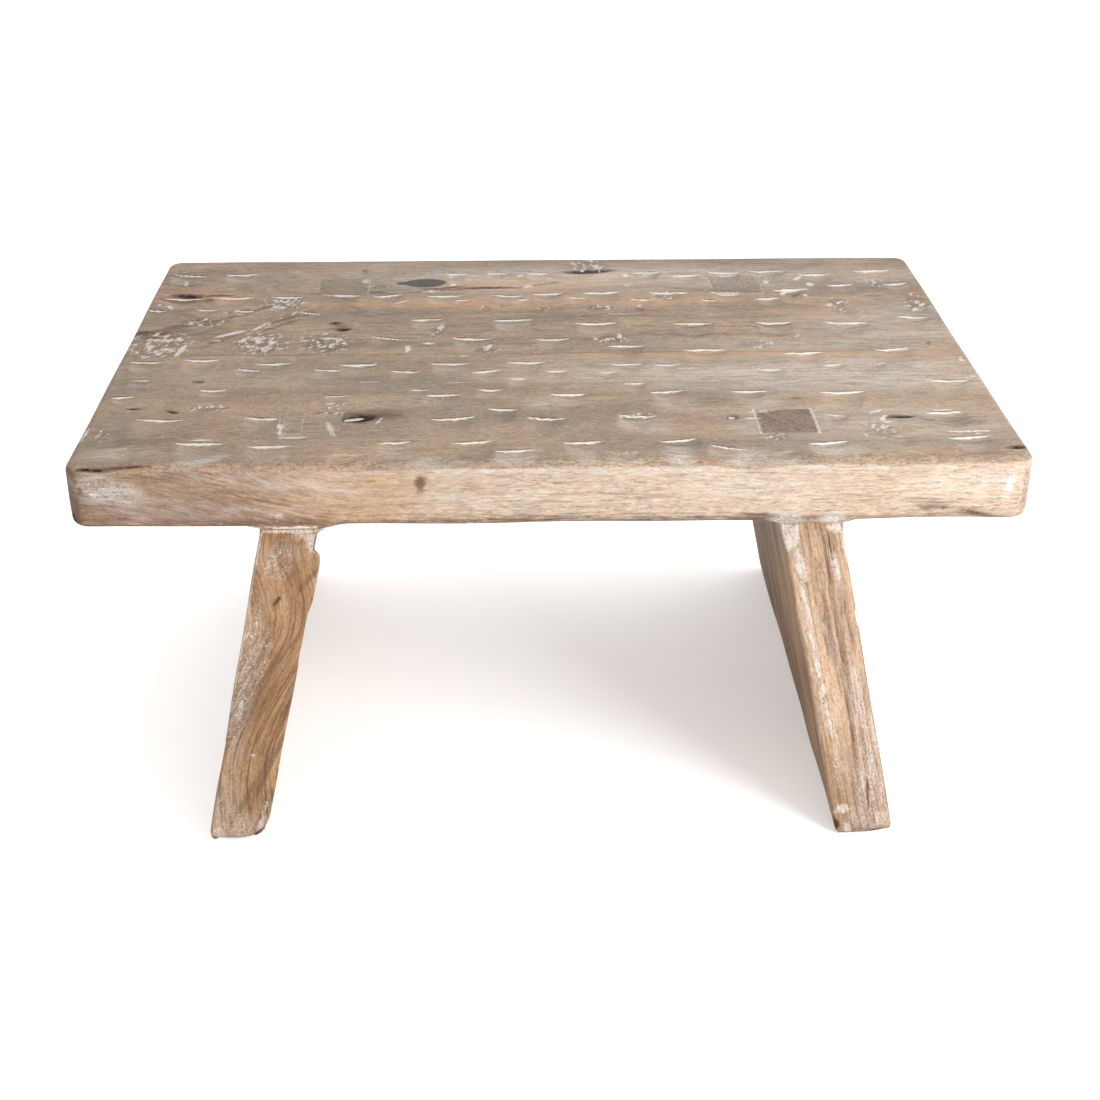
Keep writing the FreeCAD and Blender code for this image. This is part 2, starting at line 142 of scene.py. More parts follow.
# Marks on the top, by kind. Each is a soft-edged oval: place along the seat from its left end,
# place from the rear edge, half length and half width in millimetres, turn in degrees from the
# seat's long side towards the rear, and strength
TOP_MARKS = {
    "knot": (
        (0.349, 0.149, 17, 10.5, 4, 1), (0.326, 0.15, 10, 4.5, 6, 0.9),
    ),
    "dark": (
        (0.374, 0.18, 16, 2, 10, 0.62), (0.361, 0.196, 20, 2.2, 13, 0.6),
        (0.431, 0.183, 28, 2.2, 2, 0.66), (0.503, 0.164, 21, 1.6, 20, 0.5),
        (0.564, 0.088, 20, 5.5, 4, 1), (0.048, 0.218, 12, 5, -6, 1), (0.085, 0.214, 12, 1.6, 3, 0.7),
        (0.076, 0.241, 5, 5, 0, 0.45), (0.016, 0.417, 8, 5, 0, 0.6), (0.268, 0.079, 3, 6, 0, 0.4),
        (0.294, 0.82, 12.5, 6.5, 10, 1.1), (0.88, 0.832, 10, 2.6, -3, 0.9),
        (0.906, 0.845, 9, 1.6, -24, 0.5), (0.986, 0.957, 6.5, 2.4, 6, 0.95),
        (0.244, 0.375, 4.5, 3, 0, 0.7), (0.256, 0.406, 5, 3, 0, 0.95), (0.106, 0.657, 5, 2, 0, 0.6),
        (0.048, 0.772, 5, 1.5, 4, 0.7), (0.09, 0.785, 4.5, 1.7, -33, 0.85),
        (0.697, 0.831, 4, 4, 0, 0.7), (0.774, 0.754, 5, 1.6, 0, 0.45), (0.959, 0.499, 6, 1.6, 70, 0.5),
        (0.825, 0.233, 3, 3, 0, 0.6), (0.03, 0.418, 14, 4.5, 0, 0.5), (0.05, 0.157, 10, 4, 0, 0.3),
        (0.026, 0.996, 13, 1.1, 1, 1.2), (0.062, 0.992, 14, 1, 1, 0.7),
    ),
    "brown": (
        (0.302, 0.812, 26, 11, 8, 0.9), (0.945, 0.855, 18, 9, 0, 0.75), (0.318, 0.806, 12, 4, 16, 1),
        (0.4, 0.188, 60, 1.8, 3, 0.9), (0.25, 0.205, 40, 1.6, 3, 0.7),
        (0.127, 0.408, 42, 12, 42, 0.45), (0.165, 0.267, 22, 3.2, 45, 0.95),
        (0.124, 0.323, 17, 3.4, 40, 0.85), (0.062, 0.382, 31, 5, 29, 0.85),
        (0.189, 0.34, 25, 2.4, 40, 0.95), (0.17, 0.394, 30, 2, 44, 0.8), (0.3, 0.33, 22, 1.8, 14, 0.6),
        (0.31, 0.375, 26, 1.6, 5, 0.55), (0.12, 0.445, 26, 2, 48, 0.7), (0.21, 0.3, 18, 1.6, 42, 0.6),
        (0.041, 0.154, 10, 6, 0, 0.6), (0.284, 0.206, 12, 3.4, -4, 1), (0.045, 0.235, 24, 6, -4, 0.7),
        (0.03, 0.15, 16, 30, 0, 0.35), (0.35, 0.222, 14, 2, 0, 0.5), (0.045, 0.413, 24, 7, 3, 0.6),
        (0.947, 0.872, 8, 11, 0, 0.4), (0.967, 0.487, 15, 6, -4, 0.5), (0.254, 0.39, 8, 7, 0, 0.6),
        (0.52, 0.345, 110, 5, 2, 0.35), (0.6, 0.4, 120, 4, -1, 0.35), (0.83, 0.4, 60, 5, -3, 0.4),
        (0.55, 0.45, 90, 4, 3, 0.3), (0.8, 0.502, 70, 2.5, 2, 0.45), (0.104, 0.16, 12, 4, 0, 0.35),
        (0.3, 0.6, 90, 4, 0, 0.25), (0.46, 0.9, 60, 8, 0, 0.2), (0.1, 0.9, 70, 24, 3, 0.42),
        (0.14, 0.72, 60, 14, 0, 0.25), (0.24, 0.86, 50, 10, 0, 0.25), (0.1, 0.06, 50, 12, 0, 0.2),
    ),
    "warm": (
        (0.49, 0.15, 90, 18, 0, 1.1), (0.5, 0.262, 150, 12, 1, 1.1), (0.84, 0.33, 60, 8, 0, 0.8),
        (0.558, 0.097, 34, 12, 0, 0.7), (0.76, 0.545, 150, 8, 1, 1), (0.96, 0.6, 20, 60, 0, 0.5),
        (0.06, 0.225, 60, 7, 0, 0.8), (0.5, 0.995, 320, 3.5, 0, 0.5), (0.306, 0.52, 20, 8, 0, 0.8),
        (0.403, 0.51, 20, 7, 0, 0.7), (0.06, 0.195, 25, 7, 0, 0.5), (0.84, 0.443, 60, 8, 0, 0.45),
        (0.097, 0.16, 13, 4, 0, 0.6), (0.13, 0.4, 30, 12, 42, 0.4), (0.12, 0.215, 60, 9, 0, 0.4),
        (0.36, 0.6, 150, 10, 0, 0.25), (0.66, 0.235, 60, 14, 0, 0.35), (0.14, 0.82, 110, 46, 0, 0.3),
        (0.22, 0.3, 40, 12, 10, 0.3),
    ),
    "white": (
        (0.272, 0.136, 4, 6, 0, 1), (0.381, 0.107, 2.5, 5, 0, 0.8), (0.473, 0.108, 4, 5, 0, 0.8),
        (0.386, 0.163, 3, 5, 0, 0.9), (0.362, 0.197, 16, 3.5, 6, 0.6), (0.483, 0.177, 6, 4, 20, 0.7),
        (0.614, 0.172, 4.5, 7, 0, 0.7), (0.612, 0.113, 3, 5, 0, 0.9), (0.641, 0.143, 4, 4, 0, 0.6),
        (0.749, 0.108, 12, 2, 0, 0.8), (0.742, 0.219, 13, 2.2, -6, 0.8),
        (0.795, 0.154, 10, 3, 84, 0.8), (0.811, 0.171, 9, 2.5, 0, 0.5), (0.838, 0.139, 9, 2.6, 61, 1),
        (0.85, 0.179, 3.5, 5.5, 0, 0.9), (0.812, 0.214, 7, 2.4, 70, 0.9),
        (0.828, 0.206, 12, 2, 4, 0.95), (0.838, 0.238, 2.4, 4, 0, 0.9),
        (0.037, 0.135, 14, 2.6, -78, 0.8), (0.01, 0.1, 11, 2.2, 84, 0.4),
        (0.031, 0.272, 6, 2.6, -70, 0.9), (0.018, 0.269, 5, 2.2, -60, 0.6),
        (0.101, 0.177, 11, 1.6, 4, 0.5), (0.171, 0.163, 11, 4, -8, 0.5),
        (0.121, 0.424, 17, 3, 36, 0.85), (0.154, 0.386, 12, 2.4, 58, 0.8),
        (0.163, 0.384, 10, 1.6, 80, 0.7), (0.102, 0.462, 9, 4, 10, 0.6),
        (0.069, 0.505, 15, 2.8, 82, 0.95), (0.361, 0.481, 5, 2.4, 0, 0.8),
        (0.4, 0.546, 11, 3.5, 0, 0.5), (0.337, 0.508, 8, 2.6, 90, 0.8), (0.376, 0.4, 9, 1.6, 88, 0.95),
        (0.432, 0.504, 7, 2.4, 65, 0.95), (0.591, 0.456, 6, 2.5, 88, 0.9),
        (0.807, 0.456, 8, 2.4, 55, 0.7), (0.967, 0.447, 13, 2.6, -20, 0.5),
        (0.986, 0.582, 3, 7, 0, 0.6), (0.986, 0.66, 4, 5, 0, 0.6), (0.007, 0.877, 16, 1.8, 86, 0.7),
        (0.266, 0.863, 13, 2.2, -74, 1), (0.288, 0.822, 7, 2.2, 20, 1.3),
        (0.316, 0.832, 7, 1.8, 70, 0.7), (0.732, 0.803, 12, 3, 14, 0.75), (0.72, 0.834, 6, 1.8, 0, 1),
        (0.853, 0.812, 9, 3, 24, 0.7), (0.86, 0.838, 6, 1.8, 80, 0.95),
        (0.863, 0.853, 4, 1.6, 0, 0.95), (0.697, 0.829, 2.2, 2.2, 0, 1), (0.992, 0.853, 8, 3, 90, 0.5),
        (0.141, 0.981, 11, 5, 25, 0.58), (0.945, 0.893, 17, 1.6, 3, 0.95),
        (0.132, 0.903, 9, 1.5, 0, 0.9), (0.931, 0.806, 9, 1.6, 4, 0.9),
        (0.229, 0.892, 10, 1.8, 2, 0.95), (0.173, 0.238, 13, 1.5, 0, 0.85),
        (0.041, 0.452, 17, 1.8, 0, 0.9), (0.162, 0.447, 14, 1.5, -3, 0.8),
        (0.243, 0.449, 12, 1.5, 0, 0.8), (0.3, 0.664, 14, 1.2, 0, 0.7), (0.4, 0.668, 16, 1.2, 1, 0.66),
        (0.55, 0.654, 14, 1.2, 0, 0.66), (0.22, 0.67, 12, 1.2, -3, 0.62),
        (0.66, 0.612, 16, 1.4, 0, 0.7), (0.75, 0.468, 12, 2.2, 0, 0.62),
        (0.85, 0.64, 12, 1.4, -14, 0.66), (0.6, 0.336, 16, 1.6, 0, 0.66),
        (0.211, 0.857, 17, 1.5, -87, 0.95),
    ),
    "speck": (
        (0.018, 0.12, 3, 14, 0, 0.35), (0.289, 0.172, 10, 5, 0, 0.7), (0.567, 0.055, 15, 13, 0, 0.9),
        (0.44, 0.098, 9, 4, 0, 0.5), (0.658, 0.23, 8, 9, 0, 0.85), (0.429, 0.3, 3, 6, 0, 0.8),
        (0.449, 0.277, 3, 6, 0, 0.8), (0.502, 0.306, 6, 4, 0, 0.8), (0.568, 0.297, 14, 6, 0, 0.85),
        (0.622, 0.3, 4, 9, 0, 0.85), (0.743, 0.165, 14, 14, 0, 0.6), (0.798, 0.112, 8, 6, 0, 0.8),
        (0.936, 0.16, 7, 14, 0, 0.6), (0.974, 0.292, 9, 19, 0, 0.85), (0.873, 0.283, 8, 9, 0, 0.85),
        (0.879, 0.33, 10, 8, -30, 0.85), (0.173, 0.262, 14, 13, 0, 0.95),
        (0.124, 0.304, 11, 4.5, 10, 0.95), (0.184, 0.325, 9, 3, 52, 0.7), (0.079, 0.363, 16, 8, 0, 1),
        (0.068, 0.28, 9, 5, 0, 0.5), (0.041, 0.48, 19, 22, 0, 1), (0.162, 0.472, 17, 20, 0, 0.95),
        (0.239, 0.474, 17, 18, 0, 0.9), (0.371, 0.412, 6, 12, 0, 0.7), (0.429, 0.511, 9, 8, 0, 0.9),
        (0.579, 0.466, 11, 9, 0, 0.75), (0.745, 0.498, 15, 7, 0, 0.75), (0.023, 0.877, 6, 11, 0, 0.5),
        (0.219, 0.858, 3, 11, 0, 0.8), (0.256, 0.802, 11, 5, 0, 1), (0.13, 0.772, 14, 6, 0, 0.6),
        (0.261, 0.757, 10, 11, 0, 0.45), (0.74, 0.907, 8, 6, 20, 0.9), (0.85, 0.882, 11, 12, 0, 0.95),
        (0.865, 0.835, 4, 4, 0, 0.8), (0.939, 0.897, 16, 5, 0, 0.5), (0.594, 0.822, 12, 5, 0, 0.6),
        (0.697, 0.831, 5, 4, 0, 0.7),
    ),
    "haze": (
        (0.84, 0.64, 150, 34, 0, 0.75), (0.93, 0.42, 70, 50, 0, 0.5), (0.66, 0.62, 110, 26, 0, 0.5),
        (0.6, 0.12, 220, 26, 0, 0.7), (0.8, 0.5, 90, 14, 0, 0.5), (0.86, 0.86, 90, 34, 0, 0.4),
        (0.139, 0.975, 14, 5, 20, 1.1), (0.46, 0.978, 12, 7, 0, 0.9), (0.539, 0.978, 6, 8, 0, 0.8),
        (0.634, 0.968, 9, 12, 0, 1.1), (0.703, 0.974, 17, 9, 0, 0.8), (0.799, 0.958, 14, 9, 0, 0.9),
        (0.5, 0.2, 150, 30, 0, 0.3), (0.492, 0.763, 11, 9, 0, 0.5), (0.638, 0.773, 13, 13, 0, 0.5),
        (0.738, 0.773, 13, 15, 0, 0.5), (0.716, 0.868, 14, 15, 0, 0.55), (0.609, 0.87, 13, 16, 0, 0.4),
        (0.05, 0.95, 22, 8, 10, 0.5), (0.37, 0.99, 20, 6, 0, 0.5), (0.3, 0.04, 60, 8, 0, 0.3),
        (0.62, 0.05, 80, 8, 0, 0.3), (0.88, 0.03, 40, 7, 0, 0.35), (0.86, 0.63, 60, 16, 0, 0.3),
        (0.5, 0.64, 60, 14, 0, 0.3), (0.16, 0.63, 60, 14, 0, 0.25),
    ),
    "grey": (
        (0.5, 0.02, 320, 22, 0, 0.8), (0.34, 0.665, 120, 20, 0, 0.6), (0.4, 0.36, 130, 10, 0, 0.4),
        (0.88, 0.17, 60, 30, 0, 0.45), (0.1, 0.1, 60, 30, 0, 0.5), (0.8, 0.7, 120, 18, 0, 0.35),
        (0.1, 0.7, 60, 26, 0, 0.4), (0.12, 0.88, 110, 50, 0, 0.6), (0.4, 0.88, 120, 40, 0, 0.3),
    ),
}

# Marks on the seat's front face: place along from the left end, place down from the top, and
# the rest as above
FRONT_MARKS = {
    "dark": (
        (0.036, 0.05, 17, 0.9, 1, 1), (0.085, 0.06, 26, 0.9, 2, 0.6), (0.016, 0.38, 3, 2, 0, 1),
        (0.006, 0.88, 2, 7, 10, 0.9), (0.012, 0.965, 5, 2, -30, 0.8), (0.24, 0.985, 26, 0.8, 0, 0.7),
        (0.95, 0.9, 22, 1.6, -12, 0.55), (0.91, 0.82, 22, 1.2, -10, 0.4),
        (0.06, 0.985, 30, 0.8, 0, 0.5), (0.16, 0.95, 60, 0.8, 0, 0.5), (0.14, 0.84, 40, 0.6, -6, 0.35),
    ),
    "brown": (
        # The first three marks and the long band at 0.94 on the next line darken the left end and the
        # bottom: partly the wood's own stain, partly painted shade
        (0, 0.5, 8, 60, 0, 1.7), (0.03, 0.5, 36, 70, 0, 0.66), (0.12, 0.5, 80, 70, 0, 0.58),
        (0.25, 0.6, 90, 50, 0, 0.22), (0.5, 0.94, 320, 4.5, 0, 0.62), (0.725, 0.95, 32, 5, 0, 1),
        (0.1, 0.18, 40, 3, -16, 0.55), (0.17, 0.4, 40, 2, -18, 0.55), (0.15, 0.7, 60, 2, -8, 0.7),
        (0.45, 0.5, 70, 40, 0, 0.2), (0.16, 0.86, 90, 6, -2, 0.75), (0.22, 0.62, 70, 2.2, -14, 0.5),
        (0.63, 0.92, 60, 3.5, 0, 0.4), (0.1, 0.52, 40, 1.8, -4, 0.4), (0.3, 0.88, 60, 5, 0, 0.3),
        (0.364, 0.31, 2.8, 5.5, 0, 1.2), (0.315, 0.28, 6, 2, 0, 0.4), (0.01, 0.6, 5, 22, 0, 0.5),
        (0.992, 0.55, 3, 22, 0, 0.5), (0.78, 0.94, 30, 5, 0, 0.6), (0.25, 0.94, 34, 5, 0, 0.5),
        (0.08, 0.2, 30, 2, 0, 0.35),
    ),
    "white": (
        (0.036, 0.24, 12, 4, 16, 0.56), (0.032, 0.42, 10, 5, 36, 0.56), (0.055, 0.4, 14, 3, 0, 0.5),
        (0.974, 0.42, 3.4, 10, -8, 0.72), (0.232, 0.985, 20, 1.3, 0, 0.9),
        # The long thin line at 0.6 is a painted highlight just under the top's rounding
        (0.6, 0.1, 200, 1.2, 0, 0.35), (0.205, 0.28, 24, 2.4, -4, 0.5), (0.215, 0.8, 9, 3, 0, 0.6),
        (0.3, 0.36, 22, 1.8, -3, 0.4), (0.055, 0.98, 20, 2, 0, 0.6), (0.2, 0.97, 12, 2, 0, 0.6),
        (0.744, 0.94, 7, 3.4, 20, 0.26), (0.792, 0.94, 7, 3.4, -10, 0.26),
        (0.42, 0.95, 14, 1.6, 0, 0.6),
    ),
    "haze": (
        # The long band at 0.6 is a painted highlight just under the top's rounding
        (0.045, 0.38, 22, 10, -16, 0.9), (0.6, 0.13, 260, 2.5, 0, 0.6), (0.974, 0.42, 4, 11, -8, 0.8),
        (0.744, 0.93, 10, 6, 0, 0.9), (0.792, 0.94, 8, 5, 0, 0.9), (0.08, 0.6, 44, 12, -4, 0.3),
        (0.22, 0.3, 60, 6, -6, 0.5), (0.93, 0.3, 40, 12, 0, 0.5), (0.45, 0.5, 60, 10, 0, 0.3),
        (0.7, 0.4, 60, 10, 0, 0.35), (0.16, 0.72, 50, 5, 0, 0.4),
    ),
    "grey": (
        (0.6, 0.88, 130, 5, 0, 0.6), (0.92, 0.78, 36, 4.5, -12, 0.85), (0.95, 0.92, 24, 3.5, -12, 0.9),
        (0.52, 0.6, 80, 8, 0, 0.3),
    ),
    "warm": (
        # The first and third marks warm and darken the left end: partly the wood's own tone, partly painted
        # shade
        (0.12, 0.5, 120, 60, 0, 1.9), (0.27, 0.5, 90, 50, 0, 0.3), (0.02, 0.5, 14, 60, 0, 1.3),
        (0.364, 0.32, 3, 6, 0, 1.8), (0.28, 0.22, 110, 7, -2, 0.5), (0.5, 0.06, 320, 4, 0, 0.4),
        (0.85, 0.2, 90, 9, 0, 0.4),
    ),
}

# Marks on the legs' front faces: place across from the left edge, height from the floor, and
# the rest as above, with the turn from the level towards the top
LEFT_LEG_MARKS = {
    "white": (
        (0.5, 0.99, 20, 1.6, 0, 1), (0.9, 0.955, 6, 7, 20, 1), (0.72, 0.975, 8, 4, 0, 0.7),
        (0.03, 0.7, 60, 1.3, 90, 0.9), (0.035, 0.93, 16, 1.6, 90, 0.9), (0.03, 0.42, 34, 1, 90, 0.6),
        (0.36, 0.915, 12, 1.8, 84, 0.7), (0.22, 0.885, 9, 2.4, 80, 0.6),
        (0.17, 0.45, 13, 2.4, 88, 0.75), (0.13, 0.31, 14, 1.8, 80, 0.5), (0.1, 0.14, 14, 2.6, 88, 0.6),
        (0.2, 0.04, 5, 9, 30, 0.8), (0.86, 0.07, 10, 2.4, 84, 0.9), (0.88, 0.13, 12, 1.6, 80, 0.7),
        (0.5, 0.03, 12, 3, -40, 0.6), (0.52, 0.305, 1.6, 1.6, 0, 1), (0.72, 0.04, 7, 1.4, 40, 0.6),
    ),
    "speck": (
        (0.14, 0.66, 28, 5, 88, 0.7), (0.2, 0.52, 30, 5, 84, 0.7), (0.1, 0.4, 20, 4, 88, 0.6),
        (0.4, 0.9, 16, 8, 90, 0.5), (0.4, 0.06, 12, 14, 0, 0.6), (0.35, 0.62, 26, 7, 88, 0.45),
    ),
    "dark": (
        (0.47, 0.785, 4.4, 1.25, 62, 1), (0.04, 0.02, 4, 3, 0, 0.5), (0.1, 0.35, 12, 2, 70, 0.5),
    ),
    "brown": (
        (0.3, 0.5, 40, 6, 68, 0.55), (0.14, 0.62, 60, 5, 90, 0.45), (0.77, 0.23, 40, 2, 75, 0.8),
        (0.62, 0.2, 36, 1.8, 74, 0.75), (0.22, 0.495, 26, 2, 70, 1), (0.32, 0.45, 28, 1.8, 70, 0.9),
        (0.92, 0.33, 28, 2, 75, 0.9), (0.45, 0.13, 28, 1.8, 74, 0.7), (0.86, 0.11, 30, 2, 76, 0.9),
        (0.6, 0.585, 30, 2, 62, 0.8), (0.9, 0.85, 12, 2.2, 60, 0.8), (0.5, 0.7, 26, 8, 80, 0.2),
        (0.3, 0.62, 30, 8, 84, 0.5), (0.985, 0.5, 110, 1.6, 82, 0.7), (0.44, 0.12, 26, 5, 72, 0.2),
        (0.5, 0.955, 14, 4, 0, 0.4), (0.1, 0.18, 30, 3, 90, 0.4), (0.9, 0.18, 30, 3, 80, 0.4),
        (0.5, 0.01, 20, 3, 0, 0.5),
    ),
    "haze": (
        (0.2, 0.45, 70, 7, 88, 0.5), (0.2, 0.1, 30, 8, 88, 0.6), (0.6, 0.05, 14, 14, 0, 0.6),
        (0.4, 0.92, 18, 9, 0, 0.3),
    ),
    "warm": (
        (0.8, 0.72, 50, 9, 90, 0.5), (0.55, 0.4, 40, 6, 62, 0.5), (0.75, 0.5, 30, 6, 70, 0.4),
    ),
}
RIGHT_LEG_MARKS = {
    "white": (
        (0.17, 0.955, 12, 4.6, 70, 1), (0.22, 0.875, 17, 3.4, 96, 0.95), (0.1, 0.985, 5, 4, 0, 0.9),
        (0.84, 0.985, 6, 4, 0, 0.95), (0.97, 0.935, 14, 1.6, 90, 0.95), (0.78, 0.87, 15, 3, 92, 0.75),
        (0.2, 0.76, 17, 2, 96, 0.9), (0.19, 0.645, 10, 2, 94, 0.9), (0.2, 0.56, 10, 2.6, 90, 0.85),
        (0.21, 0.485, 8, 3.6, 60, 0.9), (0.21, 0.395, 16, 2.6, 92, 0.85),
        (0.19, 0.215, 16, 1.6, 92, 0.6), (0.2, 0.095, 7, 5, 10, 0.9), (0.22, 0.03, 3, 5, -6, 1),
        (0.82, 0.065, 10, 6, 80, 0.7), (0.78, 0.56, 22, 1.6, 94, 0.6), (0.76, 0.4, 20, 1.8, 90, 0.6),
        (0.92, 0.23, 40, 2, 90, 0.6), (0.4, 0.685, 6, 1.6, 90, 0.7), (0.4, 0.925, 3, 1.5, 0, 0.7),
        (0.014, 0.6, 90, 0.7, 90, 0.6),
    ),
    "speck": (
        (0.2, 0.66, 60, 5, 92, 0.35), (0.72, 0.52, 60, 5, 92, 0.3), (0.55, 0.72, 40, 6, 92, 0.2),
        (0.8, 0.2, 34, 6, 90, 0.25), (0.3, 0.3, 40, 5, 90, 0.2),
    ),
    "dark": (
        (0.74, 0.9, 26, 0.9, 91, 0.8), (0.66, 0.88, 30, 0.8, 91, 0.7), (0.6, 0.84, 34, 0.8, 91, 0.6),
        (0.42, 0.93, 16, 0.9, 84, 0.5), (0.8, 0.74, 30, 0.8, 92, 0.6), (0.62, 0.66, 30, 0.7, 90, 0.6),
        (0.52, 0.62, 30, 0.9, 89, 0.5), (0.66, 0.54, 30, 0.8, 90, 0.6), (0.58, 0.42, 40, 0.9, 89, 0.6),
        (0.7, 0.34, 34, 0.8, 89, 0.5), (0.48, 0.3, 34, 0.8, 90, 0.5), (0.66, 0.14, 20, 1.2, 84, 0.7),
        (0.03, 0.045, 3, 5, 0, 0.9), (0.72, 0.02, 10, 2, 8, 0.7), (0.985, 0.2, 30, 0.9, 90, 0.6),
        (0.99, 0.72, 10, 1.5, 90, 0.7), (0.34, 0.5, 24, 0.8, 92, 0.4), (0.45, 0.72, 12, 1.1, 80, 0.6),
    ),
    "brown": (
        (0.74, 0.8, 50, 3.5, 91, 0.6), (0.6, 0.52, 50, 3.2, 90, 0.6), (0.56, 0.24, 50, 3, 88, 0.6),
        (0.66, 0.62, 60, 1.8, 91, 1.2), (0.5, 0.66, 40, 1.8, 90, 1.1), (0.58, 0.3, 50, 1.8, 89, 1.2),
        # The long mark at 0.995 is painted shade that darkens the rounded right edge, which the front right
        # light brightens
        (0.995, 0.6, 120, 1.8, 90, 0.9), (0.33, 0.2, 40, 1.6, 90, 0.7), (0.55, 0.985, 12, 4, 0, 0.5),
        (0.84, 0.7, 30, 3, 92, 0.5), (0.45, 0.86, 20, 6, 90, 0.3), (0.2, 0.02, 8, 4, 0, 0.5),
        (0.6, 0.01, 16, 2.4, 0, 0.6), (0.88, 0.52, 40, 3, 90, 0.3),
    ),
    "haze": (
        (0.62, 0.14, 40, 9, 90, 0.9), (0.86, 0.3, 60, 5, 90, 0.8), (0.5, 0.5, 140, 24, 90, 0.4),
        (0.2, 0.55, 100, 5, 92, 0.9), (0.82, 0.3, 70, 8, 90, 1.1), (0.8, 0.1, 26, 8, 90, 1.1),
        (0.55, 0.06, 16, 12, 0, 0.8), (0.8, 0.86, 22, 5, 90, 0.5), (0.2, 0.9, 24, 6, 92, 0.6),
        (0.3, 0.25, 44, 5, 92, 0.5),
    ),
    "grey": (
        (0.86, 0.25, 60, 6, 90, 0.6),
    ),
    "warm": (
        (0.4, 0.4, 90, 6, 90, 0.45), (0.66, 0.75, 50, 7, 90, 0.4),
    ),
}

# Worn dips along the seat's front edge: place along from the left end, half length and depth in
# millimetres
EDGE_DIPS = (
    (0.05, 18, 1.2), (0.22, 26, 2.2), (0.335, 22, 1.8), (0.46, 26, 1.0), (0.60, 24, 0.8),
    (0.704, 20, 3.2), (0.86, 22, 1.6), (0.955, 12, 1.0),
)

# How far the grain drops across the front face's left part
FRONT_SWEEP = 30 * MM

# A gouge cut falls by this share of its depth at the wall itself, and by the rest past it
WALL_SHARE = 0.5

# How far on each side of a rim its distance is stored
RIM_REACH = 6 * MM

# The dark marks on the top that push the grain's lines apart, by their order in the table
SPREADING_MARKS = slice(3, 7)

MARK_KINDS = ("knot", "dark", "brown", "warm", "white", "speck", "haze", "grey")

# Bites out of the legs' upright edges, by leg: outer or inner side, front or rear, height share,
# half height, depth and run from the edge in millimetres. Where the depth is below zero, the
# edge swells out
LEG_BITES = {
    -1: (
        (-1, True, 0.958, 9, 4.6, 60), (-1, True, 0.84, 24, -1.6, 40), (-1, True, 0.62, 7, 0.8, 12),
        (1, True, 0.30, 14, 0.7, 16), (1, False, 0.5, 10, 1.4, 14),
    ),
    1: ((1, True, 0.715, 7, 1.3, 12), (-1, True, 0.80, 12, 0.6, 12), (1, False, 0.45, 12, 1.6, 16)),
}

# How far the left leg's inner face is hollowed behind its front edge
INNER_HOLLOW = 6.6 * MM

# How far the right foot's outer side is worn off
FOOT_WEAR = 3 * MM

# How far outside a mortise's walls the boards have one more line of vertices
MORTISE_MARGIN = 0.9 * MM

# Mesh spacings: the boards' edges and sides, and the legs across, along where the mesh is fine
# and where it is coarse, up, and up the foot. The fine band lies at a leg's front and rear
BOARD_TOP_EDGE_STEP = 1.2 * MM
BOARD_LOW_EDGE_STEP = 1.6 * MM
BOARD_SIDE_STEP = 4.5 * MM
LEG_ACROSS_STEP = 1.6 * MM
LEG_FINE_STEP = 1.4 * MM
LEG_COARSE_STEP = 3.2 * MM
LEG_UP_STEP = 2.4 * MM
FOOT_UP_STEP = 1.2 * MM
LEG_FINE_BAND = 12 * MM

# Places closer than this are the same place
TOUCH = 1e-6

# An edge is sharp in the shading from this angle, in degrees
SHARP_ANGLE = 38

# The camera, found by fitting the outlines of the seat and the legs. Angles are in degrees
CAMERA_PLACE = (-0.0279, -1.1785, 0.7367)
CAMERA_PITCH = 27.485
CAMERA_YAW = 1.538
CAMERA_ROLL = -0.064
SENSOR_WIDTH = 36

# The lights: power's name, place, the point it looks at, and width of the lamp
LAMPS = {
    "front_light": ("key_power", (0.95, -1.0, 0.75), (0.1, -0.1, 0.2), 0.7),
    "fill_light": ("fill_power", (1.2, -2.4, 0.8), (0.0, 0.0, 0.1), 2.2),
    "top_light": ("top_power", (0.6, 0.3, 1.6), (0.1, 0.0, 0.2), 1.0),
}

# The floor's half width, its even glow, and the specular level of every finish
HALF_FLOOR = 40.0
FLOOR_GLOW = 0.3
SHINE = 0.08

# How far the putty round the tenons reaches on each side of their edges
PUTTY_WIDTH = 1.3 * MM

# Putty in the gap round each tenon, by leg and tenon: strength on its outer side, inner side,
# front side and rear side
PUTTY = {
    (-1, "front"): (0.9, 0.3, 0.3, 0.15),
    (-1, "rear"): (0.6, 0.75, 0.0, 0.1),
    (1, "front"): (1.9, 1.5, 0.15, 0.1),
    (1, "rear"): (0.85, 0.1, 0.4, 0.6),
}

# How much each tenon's top shows its own end grain, against the tone of the seat round it
END_GRAIN = {(-1, "front"): 0.06, (-1, "rear"): 0.235, (1, "front"): 1.0, (1, "rear"): 0.21}


